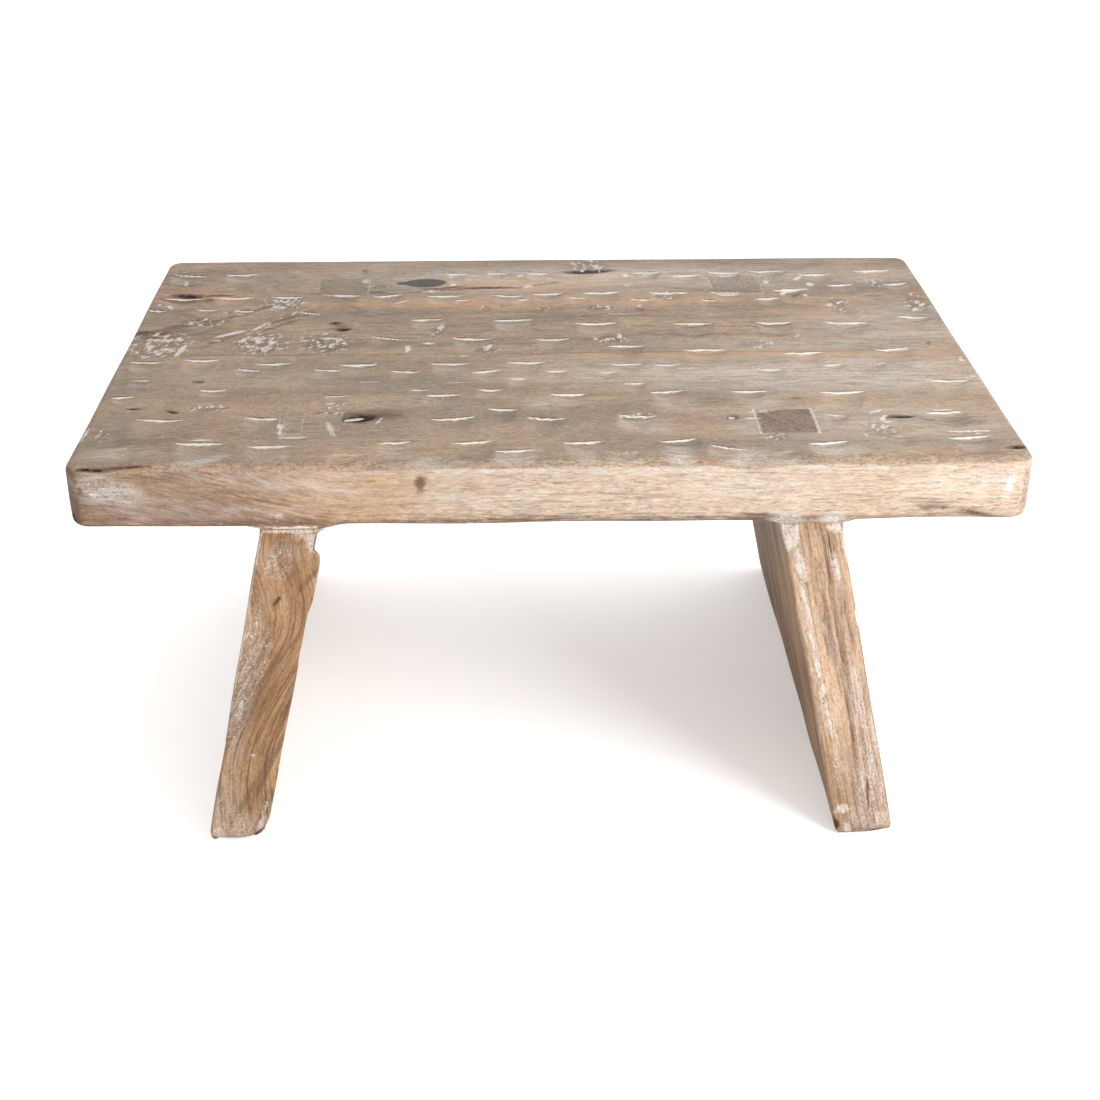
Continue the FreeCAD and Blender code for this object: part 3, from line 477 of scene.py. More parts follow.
class StoolSizes(bpy.types.PropertyGroup):
    """The sizes of the wood's surface that a maker would change."""

    cut_width: FloatProperty(
        name="Cut width", description="Width of the widest gouge cut",
        default=32 * MM, min=0.005, unit="LENGTH")
    cut_depth: FloatProperty(
        name="Cut depth", description="Depth of the widest gouge cut at its stop wall",
        default=3 * MM, min=0, unit="LENGTH")
    cut_run: FloatProperty(
        name="Cut run", description="How far the widest gouge cut runs before it comes out",
        default=36 * MM, min=0.005, unit="LENGTH")
    wall_foot: FloatProperty(
        name="Wall foot", description="How far a stop wall leans from its rim to its foot",
        default=0.8 * MM, min=0.0001, unit="LENGTH")
    hollow_run: FloatProperty(
        name="Hollow run", description="How far past its wall a gouge cut is at its deepest",
        default=8 * MM, min=0.001, unit="LENGTH")
    corner_radius: FloatProperty(
        name="Corner radius", description="Radius of the seat's upright corners",
        default=12 * MM, min=0.001, unit="LENGTH")
    top_edge_radius: FloatProperty(
        name="Top edge radius", description="Radius of the edge round the seat's top",
        default=7 * MM, min=0.0005, unit="LENGTH")
    bottom_edge_radius: FloatProperty(
        name="Bottom edge radius", description="Radius of the edge round the seat's underside",
        default=6 * MM, min=0.0005, unit="LENGTH")
    seam_edge_radius: FloatProperty(
        name="Seam edge radius", description="How far the two boards' edges are eased at their seam",
        default=0.7 * MM, min=0.0001, unit="LENGTH")
    leg_edge_radius: FloatProperty(
        name="Leg edge radius", description="Radius of the legs' upright edges",
        default=2.2 * MM, min=0.0005, unit="LENGTH")
    foot_edge_radius: FloatProperty(
        name="Foot edge radius", description="Radius of the edge round the foot of a leg",
        default=6.5 * MM, min=0.0005, unit="LENGTH")
    unevenness: FloatProperty(
        name="Unevenness", description="How far the hand planed faces dip below true",
        default=0.9 * MM, min=0, unit="LENGTH")
    length_step: FloatProperty(
        name="Mesh step along", description="Mesh spacing along the boards",
        default=2.3 * MM, min=0.0005, unit="LENGTH")
    depth_step: FloatProperty(
        name="Mesh step across", description="Mesh spacing across the boards",
        default=1.1 * MM, min=0.0005, unit="LENGTH")


def tone(name, description, red, green, blue):
    """A colour that a maker can change."""
    return FloatVectorProperty(
        name=name, description=description, subtype="COLOR", size=3, min=0, max=1,
        default=(red, green, blue))


class StoolColours(bpy.types.PropertyGroup):
    """The colours of the woods and of the whitewash."""

    tan: tone("Tan", "Seat wood where the wash is rubbed off", 0.278, 0.206, 0.146)
    grey: tone("Grey", "Seat wood where it has greyed", 0.192, 0.154, 0.120)
    cream: tone("Cream", "Seat wood on the sawn edges", 0.296, 0.240, 0.188)
    # Orange also warms and darkens the front face's left end, partly as painted shade
    orange: tone("Orange", "Warm streaks in the seat wood", 0.335, 0.205, 0.118)
    rose: tone("Rose", "Reddish heartwood in the seat", 0.198, 0.126, 0.096)
    # Brown also paints shade: above the cuts' rims, round the flecks, on the legs' inner sides, on the
    # right leg's right edge and on the front face's left end and bottom
    brown: tone("Brown", "Growth lines and stains", 0.080, 0.040, 0.024)
    dark: tone("Dark", "Knots, cracks and pores", 0.008, 0.004, 0.003)
    slate: tone("Slate", "The smooth blue-grey knot", 0.036, 0.033, 0.033)
    # Wash also paints a highlight along the seat's front face under the top's rounding
    wash: tone("Wash", "Whitewash and putty", 0.460, 0.438, 0.410)
    leg_tan: tone("Leg tan", "Leg wood", 0.322, 0.208, 0.122)
    leg_brown: tone("Leg brown", "Darker leg wood", 0.165, 0.088, 0.042)
    end_grain: tone("End grain", "Cut ends of the leg wood", 0.122, 0.080, 0.055)
    dowel: tone("Dowel", "Turned dowel wood", 0.36, 0.24, 0.14)


class StoolStage(bpy.types.PropertyGroup):
    """The floor, the lights and the camera."""

    floor_tone: tone("Floor", "Colour of the plain floor", 0.90, 0.90, 0.90)
    key_power: FloatProperty(
        name="Front light", description="Power of the large light at the front right",
        default=24, min=0, unit="POWER")
    fill_power: FloatProperty(
        name="Fill light", description="Power of the wide low light in front",
        default=12, min=0, unit="POWER")
    top_power: FloatProperty(
        name="Top light", description="Power of the light overhead", default=5, min=0, unit="POWER")
    sky: FloatProperty(
        name="Room light", description="Strength of the even light all round", default=1.15, min=0)
    focal_length: FloatProperty(
        name="Focal length", description="Camera focal length on a 36 mm wide frame",
        default=57.45, min=10, unit="CAMERA")


# Shapes


def leg_middle(height):
    """How far a leg's middle plane stands from the middle of the seat at one height."""
    return LEG_TOP_OFFSET + (SEAT_TOP - height) * LEAN


def even_lines(stops, step):
    """Places along an axis: every stop, with an even number of gaps of at most step between two."""
    lines = [stops[0]]
    for start, end in zip(stops, stops[1:]):
        gaps = 2 * math.ceil((end - start) / (2 * step))
        lines += [start + (end - start) * n / gaps for n in range(1, gaps + 1)]
    return np.array(lines)


def skin(filled):
    """The outside of a block of filled cells: each face's corners as lattice places, and its label,
    which is the way that it faces and the plane that it lies in."""
    padded = np.pad(filled, 1)
    quads = []
    labels = []
    for axis in range(3):
        first, second = (axis + 1) % 3, (axis + 2) % 3
        for way in (0, 1):
            beyond = np.roll(padded, 1 - 2 * way, axis)
            cells = np.argwhere(padded & ~beyond) - 1
            corners = np.repeat(cells[:, None, :], 4, axis=1)
            corners[:, :, axis] += way
            ring = ((0, 0), (1, 0), (1, 1), (0, 1)) if way else ((0, 0), (0, 1), (1, 1), (1, 0))
            for corner, (a, b) in enumerate(ring):
                corners[:, corner, first] += a
                corners[:, corner, second] += b
            quads.append(corners)
            planes = corners[:, 0, axis]
            labels.append(np.stack([np.full(len(planes), 2 * axis + way), planes], axis=1))
    return np.concatenate(quads), np.concatenate(labels)


def thin_out(quads, layer):
    """Halves the mesh's lines both ways on one level layer of the lattice."""
    low = quads[:, :, 2] == layer
    for axis in (0, 1):
        quads[:, :, axis] -= low * (quads[:, :, axis] % 2)
    return quads


def build_mesh(name, quads, labels, place, side_weight):
    """A mesh of the quads with a packed UV map, and its vertices' places.

    place turns lattice places into metres, and side_weight says how much room in the UV map a
    flat side gets, from its label.
    """
    keys, vertex = np.unique(quads.reshape(-1, 3), axis=0, return_inverse=True)
    vertex = vertex.reshape(-1, 4)
    flat = place(keys)
    kept = []
    kept_labels = []
    for ring, label in zip(vertex.tolist(), labels.tolist()):
        corners = [v for n, v in enumerate(ring) if v != ring[n - 1]]
        if len(set(corners)) > 2:
            kept.append(corners)
            kept_labels.append(tuple(label))
    mesh = bpy.data.meshes.new(name)
    mesh.from_pydata(flat.tolist(), [], kept)
    lay_out(mesh, flat, kept_labels, side_weight)
    return mesh, flat


def lay_out(mesh, flat, labels, side_weight):
    """Gives the mesh a UV map in which each flat side of the lattice is one chart, in rows."""
    corner_vertex = np.empty(len(mesh.loops), np.int32)
    mesh.loops.foreach_get("vertex_index", corner_vertex)
    totals = np.empty(len(mesh.polygons), np.int32)
    mesh.polygons.foreach_get("loop_total", totals)
    names, chart = np.unique(np.array(labels), axis=0, return_inverse=True)
    chart = np.repeat(chart.reshape(-1), totals)
    uv = np.zeros((len(corner_vertex), 2))
    sizes = []
    for n, (facing, plane) in enumerate(names.tolist()):
        mine = chart == n
        axes = [axis for axis in range(3) if axis != facing // 2]
        places = flat[corner_vertex[mine]][:, axes]
        if np.ptp(places[:, 0]) < np.ptp(places[:, 1]):
            places = places[:, ::-1]
        places = (places - places.min(0)) * side_weight(facing, plane)
        uv[mine] = places
        sizes.append((float(places[:, 1].max()), float(places[:, 0].max()), n))
    gap = 3 * MM
    width = max(size[1] for size in sizes) + gap
    x = y = row = 0
    for height, length, n in sorted(sizes, reverse=True):
        if x and x + length > width:
            x = 0
            y += row + gap
            row = 0
        uv[chart == n] += (x, y)
        x += length + gap
        row = max(row, height)
    uv /= max(width, y + row + gap)
    layer = mesh.uv_layers.new(name="OFBake")
    layer.data.foreach_set("uv", uv.ravel().astype(np.float32))


def waves(seed, length, *places):
    """A smooth random field from 0 to 1 over the places, whose swells are about length long."""
    random = np.random.default_rng(seed)
    total = 0
    for n in range(9):
        way = random.normal(size=len(places))
        way /= np.linalg.norm(way) * length * random.uniform(0.6, 1.6)
        along = sum(w * p for w, p in zip(way, places))
        total = total + np.sin(2 * math.pi * along + random.uniform(0, 6.3))
    return np.clip(0.5 + total / 9, 0, 1)


def smooth(value, low, high):
    """0 below low, 1 above high, and a smooth rise between."""
    share = np.clip((value - low) / (high - low), 0, 1)
    return share * share * (3 - 2 * share)


def ease_edge(inset, drop, radius):
    """Moves places near a square edge onto its rounding, by their insets from the two faces."""
    over_inset, over_drop = radius - inset, radius - drop
    near = (over_inset > 0) & (over_drop > 0)
    reach = np.hypot(over_inset, over_drop)
    share = np.where(near, np.maximum(over_inset, over_drop) / np.where(reach > 0, reach, 1), 1)
    return (np.where(near, radius - over_inset * share, inset),
            np.where(near, radius - over_drop * share, drop))


def ovals(marks, across, down, length, height):
    """The strongest of the marks at each place: 1 in the middle of a full mark, half at its outline."""
    field = np.zeros(len(across))
    for along, back, half_length, half_width, turn, strength in marks:
        from_middle = across - along * length
        from_back = back * height - down
        c, s = math.cos(math.radians(turn)), math.sin(math.radians(turn))
        long_way = (from_middle * c + from_back * s) / (half_length * MM)
        short_way = (from_back * c - from_middle * s) / (half_width * MM)
        field = np.maximum(field, strength * np.clip(1.5 - np.hypot(long_way, short_way), 0, 1))
    return field


def cut_fields(sizes, x, y):
    """What the gouge cuts do at each place of the top: its height, the distance ahead of the nearest
    cut's rim and that rim's wall height, both in millimetres, how hazy the cut's floor is and how
    much lighter or darker its floor is painted than the wood round it, as painted light and shade."""
    top = np.full(len(x), SEAT_TOP)
    rim = np.full(len(x), -RIM_REACH / MM)
    lip, floor, facet = np.zeros((3, len(x)))
    random = np.random.default_rng(7)
    for along, back, size, turn, whiteness in CUT_SHARES:
        width = sizes.cut_width * size
        depth = sizes.cut_depth * math.sqrt(size)
        run = sizes.cut_run * size
        radius = (width * width / 4 + depth * depth) / (2 * depth)
        paint = random.uniform(0.6, 1.3) * whiteness
        haze = random.uniform(0.0, 0.5)
        bow = random.uniform(-0.01, 0.03) * width
        # Painted light and shade of this cut's floor, from -1 to 1
        shade = random.uniform(-1, 1)
        c, s = math.cos(math.radians(turn)), math.sin(math.radians(turn))
        right = x - (along - 0.5) * SEAT_LENGTH
        ahead = SEAT_REAR - back * SEAT_DEPTH - y
        across = right * c - ahead * s
        ahead = ahead * c + right * s
        share = np.abs(across) / (width / 2)
        near = (share < 1.1) & (ahead > -RIM_REACH) & (ahead < run * 1.1)
        across, ahead, share = across[near], ahead[near], share[near]
        ahead = ahead - bow * (1 - share * share)
        sag = radius - np.sqrt(np.maximum(radius * radius - across * across, 0))
        room = np.maximum(depth - sag, 0)
        steep = np.clip(ahead / sizes.wall_foot, 0, 1)
        bowl = 1 - (1 - np.clip(ahead / sizes.hollow_run, 0, 1)) ** 2
        dig = np.maximum(depth * (1 - ahead / run) - sag, 0)
        dig = dig * (WALL_SHARE * steep + (1 - WALL_SHARE) * bowl)
        top[near] = np.minimum(top[near], SEAT_TOP - dig)
        closer = np.abs(ahead) < np.abs(rim[near]) * MM
        fade = 1 - smooth(np.abs(ahead), 2 * MM, 4 * MM)
        rim[near] = np.where(closer, ahead / MM, rim[near])
        lip[near] = np.where(closer, room / MM * fade * paint, lip[near])
        on_floor = smooth(ahead, 2 * MM, 6 * MM) * (1 - smooth(ahead, 0.5 * run, 0.7 * run))
        floor[near] = np.maximum(floor[near], haze * on_floor * (1 - smooth(share, 0.7, 0.95)))
        inside = smooth(ahead, 0, 2 * MM) * (1 - smooth(ahead, 0.75 * run, 0.85 * run))
        inside = inside * (1 - smooth(share, 0.88, 0.98))
        facet[near] = facet[near] * (1 - inside) + shade * inside
    return top, rim, lip, floor, facet


def top_fields(sizes, x, y):
    """All the marks and cuts at places on the seat's top, and the height there."""
    height, rim, lip, floor, facet = cut_fields(sizes, x, y)
    right, back = x + HALF_LENGTH, SEAT_REAR - y
    fields = {kind: ovals(marks, right, back, SEAT_LENGTH, SEAT_DEPTH)
              for kind, marks in TOP_MARKS.items()}
    fields["haze"] = np.maximum(fields["haze"], floor)
    fields["rim"] = rim
    fields["lip"] = lip
    fields["facet"] = facet
    height = height - 0.9 * MM * smooth(fields["dark"], 0.4, 0.9)
    height = height - 0.7 * MM * smooth(fields["speck"], 0.2, 0.8) * waves(4, 0.006, x, y)
    height = height - sizes.unevenness * waves(3, 0.055, x, y * 1.3)
    return height, fields


def edge_dips(x, y):
    """How far the seat's front edge is worn down at each place."""
    near_front = 1 - smooth(y - SEAT_FRONT, 5 * MM, 34 * MM)
    worn = 0
    for along, half_length, depth in EDGE_DIPS:
        aside = (x - (along - 0.5) * SEAT_LENGTH) / (half_length * MM)
        worn = worn + depth * MM * np.exp(-aside ** 2)
    return worn * near_front


def putty_lines(x, y, height):
    """How much putty lies at each place round the tenons, at one height of the seat."""
    reach_y = TENON_WIDTH / 2
    field = np.zeros(len(x))
    for (side, which), (outer, inner, front, rear) in PUTTY.items():
        out = side * x - leg_middle(height)
        back = y - (FRONT_TENON if which == "front" else REAR_TENON)
        beside_x = np.abs(back) < reach_y + PUTTY_WIDTH
        beside_y = np.abs(out) < HALF_TENON + PUTTY_WIDTH
        for distance, beside, strength in (
            (out - HALF_TENON, beside_x, outer), (out + HALF_TENON, beside_x, inner),
            (back + reach_y, beside_y, front), (back - reach_y, beside_y, rear),
        ):
            near = np.clip(1 - np.abs(distance) / PUTTY_WIDTH, 0, 1)
            field = np.maximum(field, strength * beside * near)
    return field


def bend_grain(x, y, knots):
    """Pushes the grain's lines apart round knots, which are given as rows of the table of marks."""
    for along, back, half_length, half_width, turn, strength in knots:
        right = x - (along - 0.5) * SEAT_LENGTH
        beside = y - (SEAT_REAR - back * SEAT_DEPTH)
        reach = 2.6 * half_width * MM + 6 * MM
        swell = np.exp(-(right / (3 * half_length * MM)) ** 2) * np.exp(-np.abs(beside) / reach)
        y = y - beside * 0.75 * strength * swell
    return y


def round_uprights(x, y, half_x, outer_y, way_y, radius, rounded=True):
    """Rounds a block's upright corners.

    Gives the moved places, how far inside the block's outside they lie, and which way the outside
    faces there.
    """
    way_x = np.sign(x)
    over_x, over_y = np.abs(x) - (half_x - radius), way_y * (y - outer_y) + radius
    corner = (over_x > 0) & (over_y > 0) & rounded
    furthest = np.maximum(over_x, over_y)
    share = np.where(corner, furthest / np.maximum(np.hypot(over_x, over_y), 1e-9), 1)
    x = np.where(corner, way_x * (half_x - radius + over_x * share), x)
    y = np.where(corner, outer_y + way_y * (over_y * share - radius), y)
    out_x = way_x * np.where(corner, over_x, over_x > over_y)
    out_y = way_y * np.where(corner, over_y, over_x <= over_y)
    length = np.maximum(np.hypot(out_x, out_y), 1e-9)
    return x, y, radius - furthest, out_x / length, out_y / length


def faded(top, on_top):
    """The top's marks and cuts, which end where a piece's top ends."""
    return {kind: values * (1 if kind == "rim" else on_top) for kind, values in top.items()}


def strengthen(fields, kind, values):
    """Raises a kind of mark to at least the given values."""
    fields[kind] = np.maximum(fields[kind], values)


def store(mesh, fields):
    """Writes each field to the mesh as a vertex attribute."""
    for name, values in fields.items():
        if values.ndim == 1:
            data = mesh.attributes.new(name, "FLOAT", "POINT").data
            data.foreach_set("value", values.astype(np.float32))
        else:
            data = mesh.attributes.new(name, "FLOAT_VECTOR", "POINT").data
            data.foreach_set("vector", values.astype(np.float32).ravel())


def finish_piece(mesh, places, fields, node, material):
    """Puts the mesh's vertices in place and makes it the piece that stands for a node."""
    store(mesh, fields)
    mesh.vertices.foreach_set("co", places.astype(np.float32).ravel())
    mesh.update()
    mesh.polygons.foreach_set("use_smooth", np.ones(len(mesh.polygons), bool))
    mesh.set_sharp_from_angle(angle=math.radians(SHARP_ANGLE))
    mesh.materials.append(material)
    piece = bpy.data.objects.new(mesh.name, mesh)
    bpy.context.scene.collection.objects.link(piece)
    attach(piece, BODY)
    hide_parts(node)
    return piece


def mortise_stops(height):
    """Places along the seat of the mortises' walls and of a line just outside each, at one height."""
    middle = leg_middle(height)
    outer = [middle - HALF_MORTISE - MORTISE_MARGIN, middle - HALF_MORTISE,
             middle + HALF_MORTISE, middle + HALF_MORTISE + MORTISE_MARGIN]
    return [-place for place in reversed(outer)] + outer


def board_lattice(sizes, low_y, high_y, tenon_y):
    """A board's lattice: its lines along the top, along the underside, across and up, and which of
    its cells are wood."""
    half_width = TENON_WIDTH / 2 + MORTISE_CLEARANCE
    ends = [HALF_LENGTH - sizes.corner_radius, HALF_LENGTH]
    fringe = [-ends[1], -ends[0]]
    x_stops = fringe + mortise_stops(SEAT_TOP) + ends
    low_x_stops = fringe + mortise_stops(UNDERSIDE) + ends
    y_stops = [low_y, tenon_y - half_width - MORTISE_MARGIN, tenon_y - half_width,
               tenon_y + half_width, tenon_y + half_width + MORTISE_MARGIN, high_y]
    z_stops = [UNDERSIDE, UNDERSIDE + sizes.bottom_edge_radius,
               SEAT_TOP - sizes.top_edge_radius, SEAT_TOP]
    left_end = even_lines(fringe, sizes.depth_step * 1.2)
    xs = np.concatenate([left_end, even_lines(x_stops[1:-1], sizes.length_step)[1:], -left_end[-2::-1]])
    low_xs = np.interp(xs, x_stops, low_x_stops)  # the mortises lean, so the low lines shift
    ys = even_lines(y_stops, sizes.depth_step)
    zs = np.concatenate([even_lines(z_stops[:2], BOARD_LOW_EDGE_STEP),
                         even_lines(z_stops[1:3], BOARD_SIDE_STEP)[1:],
                         even_lines(z_stops[2:], BOARD_TOP_EDGE_STEP)[1:]])
    filled = np.ones((len(xs) - 1, len(ys) - 1, len(zs) - 1), bool)
    middle_x = (xs[1:] + xs[:-1]) / 2
    middle_y = (ys[1:] + ys[:-1]) / 2
    in_x = np.abs(np.abs(middle_x) - LEG_TOP_OFFSET) < HALF_MORTISE
    in_y = np.abs(middle_y - tenon_y) < half_width
    filled[np.ix_(in_x, in_y)] = False
    return xs, low_xs, ys, zs, filled


def board_shape(sizes, outer_y, outwards, x, y, z):
    """Rounds a board's corners and edges and makes its planed faces dip."""
    x, y, inset, out_x, out_y = round_uprights(x, y, HALF_LENGTH, outer_y, outwards, sizes.corner_radius)

    # Edges round the top and the underside, which keeps a square edge over the legs
    new_inset, drop = ease_edge(inset, SEAT_TOP - z, sizes.top_edge_radius)
    z = SEAT_TOP - drop
    from_leg = np.abs(np.abs(x) - leg_middle(UNDERSIDE))
    pad_edge = LEG_THICKNESS / 2 + 0.4 * PAD_MARGIN
    off_pad = smooth(from_leg, pad_edge, pad_edge + sizes.bottom_edge_radius)
    low_radius = np.maximum(sizes.bottom_edge_radius * off_pad, 0.5 * MM)
    new_inset, rise = ease_edge(new_inset, z - UNDERSIDE, low_radius)
    z = UNDERSIDE + rise
    moved = new_inset - inset
    x, y = x - out_x * moved, y - out_y * moved
    from_seam = np.abs(y - SEAM)
    eased, drop = ease_edge(from_seam, SEAT_TOP - z, sizes.seam_edge_radius)
    y, z = SEAM + outwards * eased, SEAT_TOP - drop
    eased, rise = ease_edge(from_seam, z - UNDERSIDE, sizes.seam_edge_radius)
    y, z = SEAM + outwards * eased, UNDERSIDE + rise

    # Hand planed faces, which dip a little below true
    outer_share = np.clip((np.abs(y - SEAM) / abs(outer_y - SEAM)) ** 8, 0, 1)
    y = y - outwards * outer_share * sizes.unevenness * waves(11, 0.16, x, z * 2)
    end_share = np.sign(x) * (np.abs(x) / HALF_LENGTH) ** 16
    x = x - end_share * sizes.unevenness * waves(13, 0.12, y, z * 2)
    low_share = np.clip((SEAT_TOP - z) / SEAT_THICKNESS, 0, 1) ** 4
    near_leg = 1 - smooth(np.abs(np.abs(x) - leg_middle(UNDERSIDE)), 24 * MM, 36 * MM)
    z = z + low_share * (1 - near_leg) * sizes.unevenness * 1.4 * waves(17, 0.14, x, y)
    return x, y, z


def mark_board(fields, sizes, outer_y, outwards, x, y, z, on_top):
    """Adds to a board's fields the marks on its sides, its putty, its kinds of face and its grain."""
    # The front has its own table, and the rear, which the photo doesn't show, has random marks
    if outwards < 0:
        facing_front = smooth(SEAM - y, 0.9 * (SEAM - outer_y), 0.975 * (SEAM - outer_y))
        for kind, marks in FRONT_MARKS.items():
            front = ovals(marks, x + HALF_LENGTH, SEAT_TOP - z, SEAT_LENGTH, SEAT_THICKNESS)
            strengthen(fields, kind, front * facing_front * (1 - on_top))
    else:
        random = np.random.default_rng(23)
        facing_rear = smooth(y - SEAM, 0.96 * (outer_y - SEAM), 0.99 * (outer_y - SEAM)) * (1 - on_top)
        for kind, strength in (("haze", 0.7), ("white", 0.7), ("brown", 0.6), ("dark", 0.5)):
            marks = [(random.uniform(0, 1), random.uniform(0.1, 1), random.uniform(6, 40),
                      random.uniform(1, 6), random.uniform(-8, 8), strength * random.uniform(0.5, 1))
                     for n in range(9)]
            rear = ovals(marks, x + HALF_LENGTH, SEAT_TOP - z, SEAT_LENGTH, SEAT_THICKNESS)
            strengthen(fields, kind, rear * facing_rear)
    strengthen(fields, "white", putty_lines(x, y, SEAT_TOP) * on_top)
    end = smooth(np.abs(x) - HALF_LENGTH, -0.5 * sizes.top_edge_radius, -0.1 * sizes.top_edge_radius)

    # The sawn side's look reaches a little over the worn front edge
    belt = 1 - smooth(y - SEAT_FRONT, 5 * MM, 15 * MM)
    belt = belt * smooth(z, SEAT_TOP - 10 * MM, SEAT_TOP - 5 * MM)
    fields["side"] = np.maximum(1 - on_top, 0.36 * belt)
    fields["end"] = end * (1 - on_top)
    fields["under"] = 1 - smooth(z, UNDERSIDE, UNDERSIDE + 0.5 * sizes.bottom_edge_radius)
    fields["seam"] = np.clip(1 - np.abs(y - SEAM) / (1.5 * MM), 0, 1)
    knots = TOP_MARKS["knot"] + TOP_MARKS["dark"][SPREADING_MARKS]
    grain_y = bend_grain(x, y, knots)
    sweep = FRONT_SWEEP * (1 - smooth(x, -0.94 * HALF_LENGTH, -0.38 * HALF_LENGTH))
    fields["grain"] = np.stack([x, grain_y, z - sweep], axis=1)


def make_board(node, low_y, high_y, outer_y, tenon_y, material):
    """One seat board with its two mortises, its rounded outer edges and its gouge cuts."""
    sizes = bpy.context.scene.stool_sizes
    outwards = 1 if outer_y > SEAM else -1
    xs, low_xs, ys, zs, filled = board_lattice(sizes, low_y, high_y, tenon_y)

    def place(keys):
        z = zs[keys[:, 2]]
        low_share = (SEAT_TOP - z) / SEAT_THICKNESS
        x = xs[keys[:, 0]] + (low_xs - xs)[keys[:, 0]] * low_share
        return np.stack([x, ys[keys[:, 1]], z], axis=1)

    def side_weight(facing, plane):
        inner = facing < 4 and plane not in (0, len(xs) - 1, len(ys) - 1)
        seam_side = facing == (2 if outwards > 0 else 3)
        return 0.35 if inner or seam_side else 0.5 if facing == 4 else 1

    quads, labels = skin(filled)
    mesh, flat = build_mesh(node + "_carved", thin_out(quads, 0), labels, place, side_weight)
    x, y, z = board_shape(sizes, outer_y, outwards, *flat.T)
    height, top = top_fields(sizes, x, y)
    on_top = smooth(z, SEAT_TOP - 0.75 * sizes.top_edge_radius, SEAT_TOP - 0.2 * sizes.top_edge_radius)
    z = z - edge_dips(x, y) * smooth(z, SEAT_TOP - 22 * MM, SEAT_TOP - 2 * MM)
    z = np.minimum(z, height)
    fields = faded(top, on_top)
    mark_board(fields, sizes, outer_y, outwards, x, y, z, on_top)
    return finish_piece(mesh, np.stack([x, y, z], axis=1), fields, node, material)


def leg_lattice(sizes, shimmed):
    """A leg's lattice: its lines outwards, rearwards and up, and which of its cells are wood."""
    half_width = TENON_WIDTH / 2
    notch = HALF_TENON - SHIM_THICKNESS - SHIM_CLEARANCE
    u_stops = [-HALF_LEG, -HALF_TENON, HALF_TENON, HALF_LEG]
    y_stops = [LEG_FRONT, FRONT_TENON - half_width, FRONT_TENON + half_width,
               REAR_TENON - half_width, REAR_TENON + half_width, LEG_REAR]
    z_stops = [0, 2.2 * sizes.foot_edge_radius, UNDERSIDE, SEAT_TOP]
    half_notch = (SHIM_HIGH.y - SHIM_LOW.y) / 2 + SHIM_CLEARANCE
    if shimmed:
        u_stops.insert(2, notch)
        y_stops[2:2] = [FRONT_TENON - half_notch, FRONT_TENON + half_notch]
        z_stops.insert(3, SHIM_LOW.z - SHIM_CLEARANCE)
    us = even_lines(u_stops, LEG_ACROSS_STEP)
    y_stops.insert(1, LEG_FRONT + LEG_FINE_BAND)
    y_stops.insert(-1, LEG_REAR - LEG_FINE_BAND)
    ys = even_lines(y_stops[:2], LEG_FINE_STEP)
    for start, end in zip(y_stops[1:], y_stops[2:]):
        from_tenon = max(min(abs(y - FRONT_TENON), abs(y - REAR_TENON)) for y in (start, end))
        fine = from_tenon < half_width + TOUCH or end > LEG_REAR - TOUCH
        step = LEG_FINE_STEP if fine else LEG_COARSE_STEP
        ys = np.concatenate([ys, even_lines([start, end], step)[1:]])
    zs = np.concatenate([even_lines(z_stops[:2], FOOT_UP_STEP),
                         even_lines(z_stops[1:], LEG_UP_STEP)[1:]])
    middle = [(lines[1:] + lines[:-1]) / 2 for lines in (us, ys, zs)]
    u_cell, y_cell, z_cell = np.meshgrid(*middle, indexing="ij")
    in_front = np.abs(y_cell - FRONT_TENON) < half_width
    in_rear = np.abs(y_cell - REAR_TENON) < half_width
    filled = (z_cell < UNDERSIDE) | ((np.abs(u_cell) < HALF_TENON) & (in_front | in_rear))
    if shimmed:
        filled &= ~((u_cell > notch) & (np.abs(y_cell - FRONT_TENON) < half_notch)
                    & (z_cell > SHIM_LOW.z - SHIM_CLEARANCE) & (u_cell < HALF_TENON))
    return us, ys, zs, filled


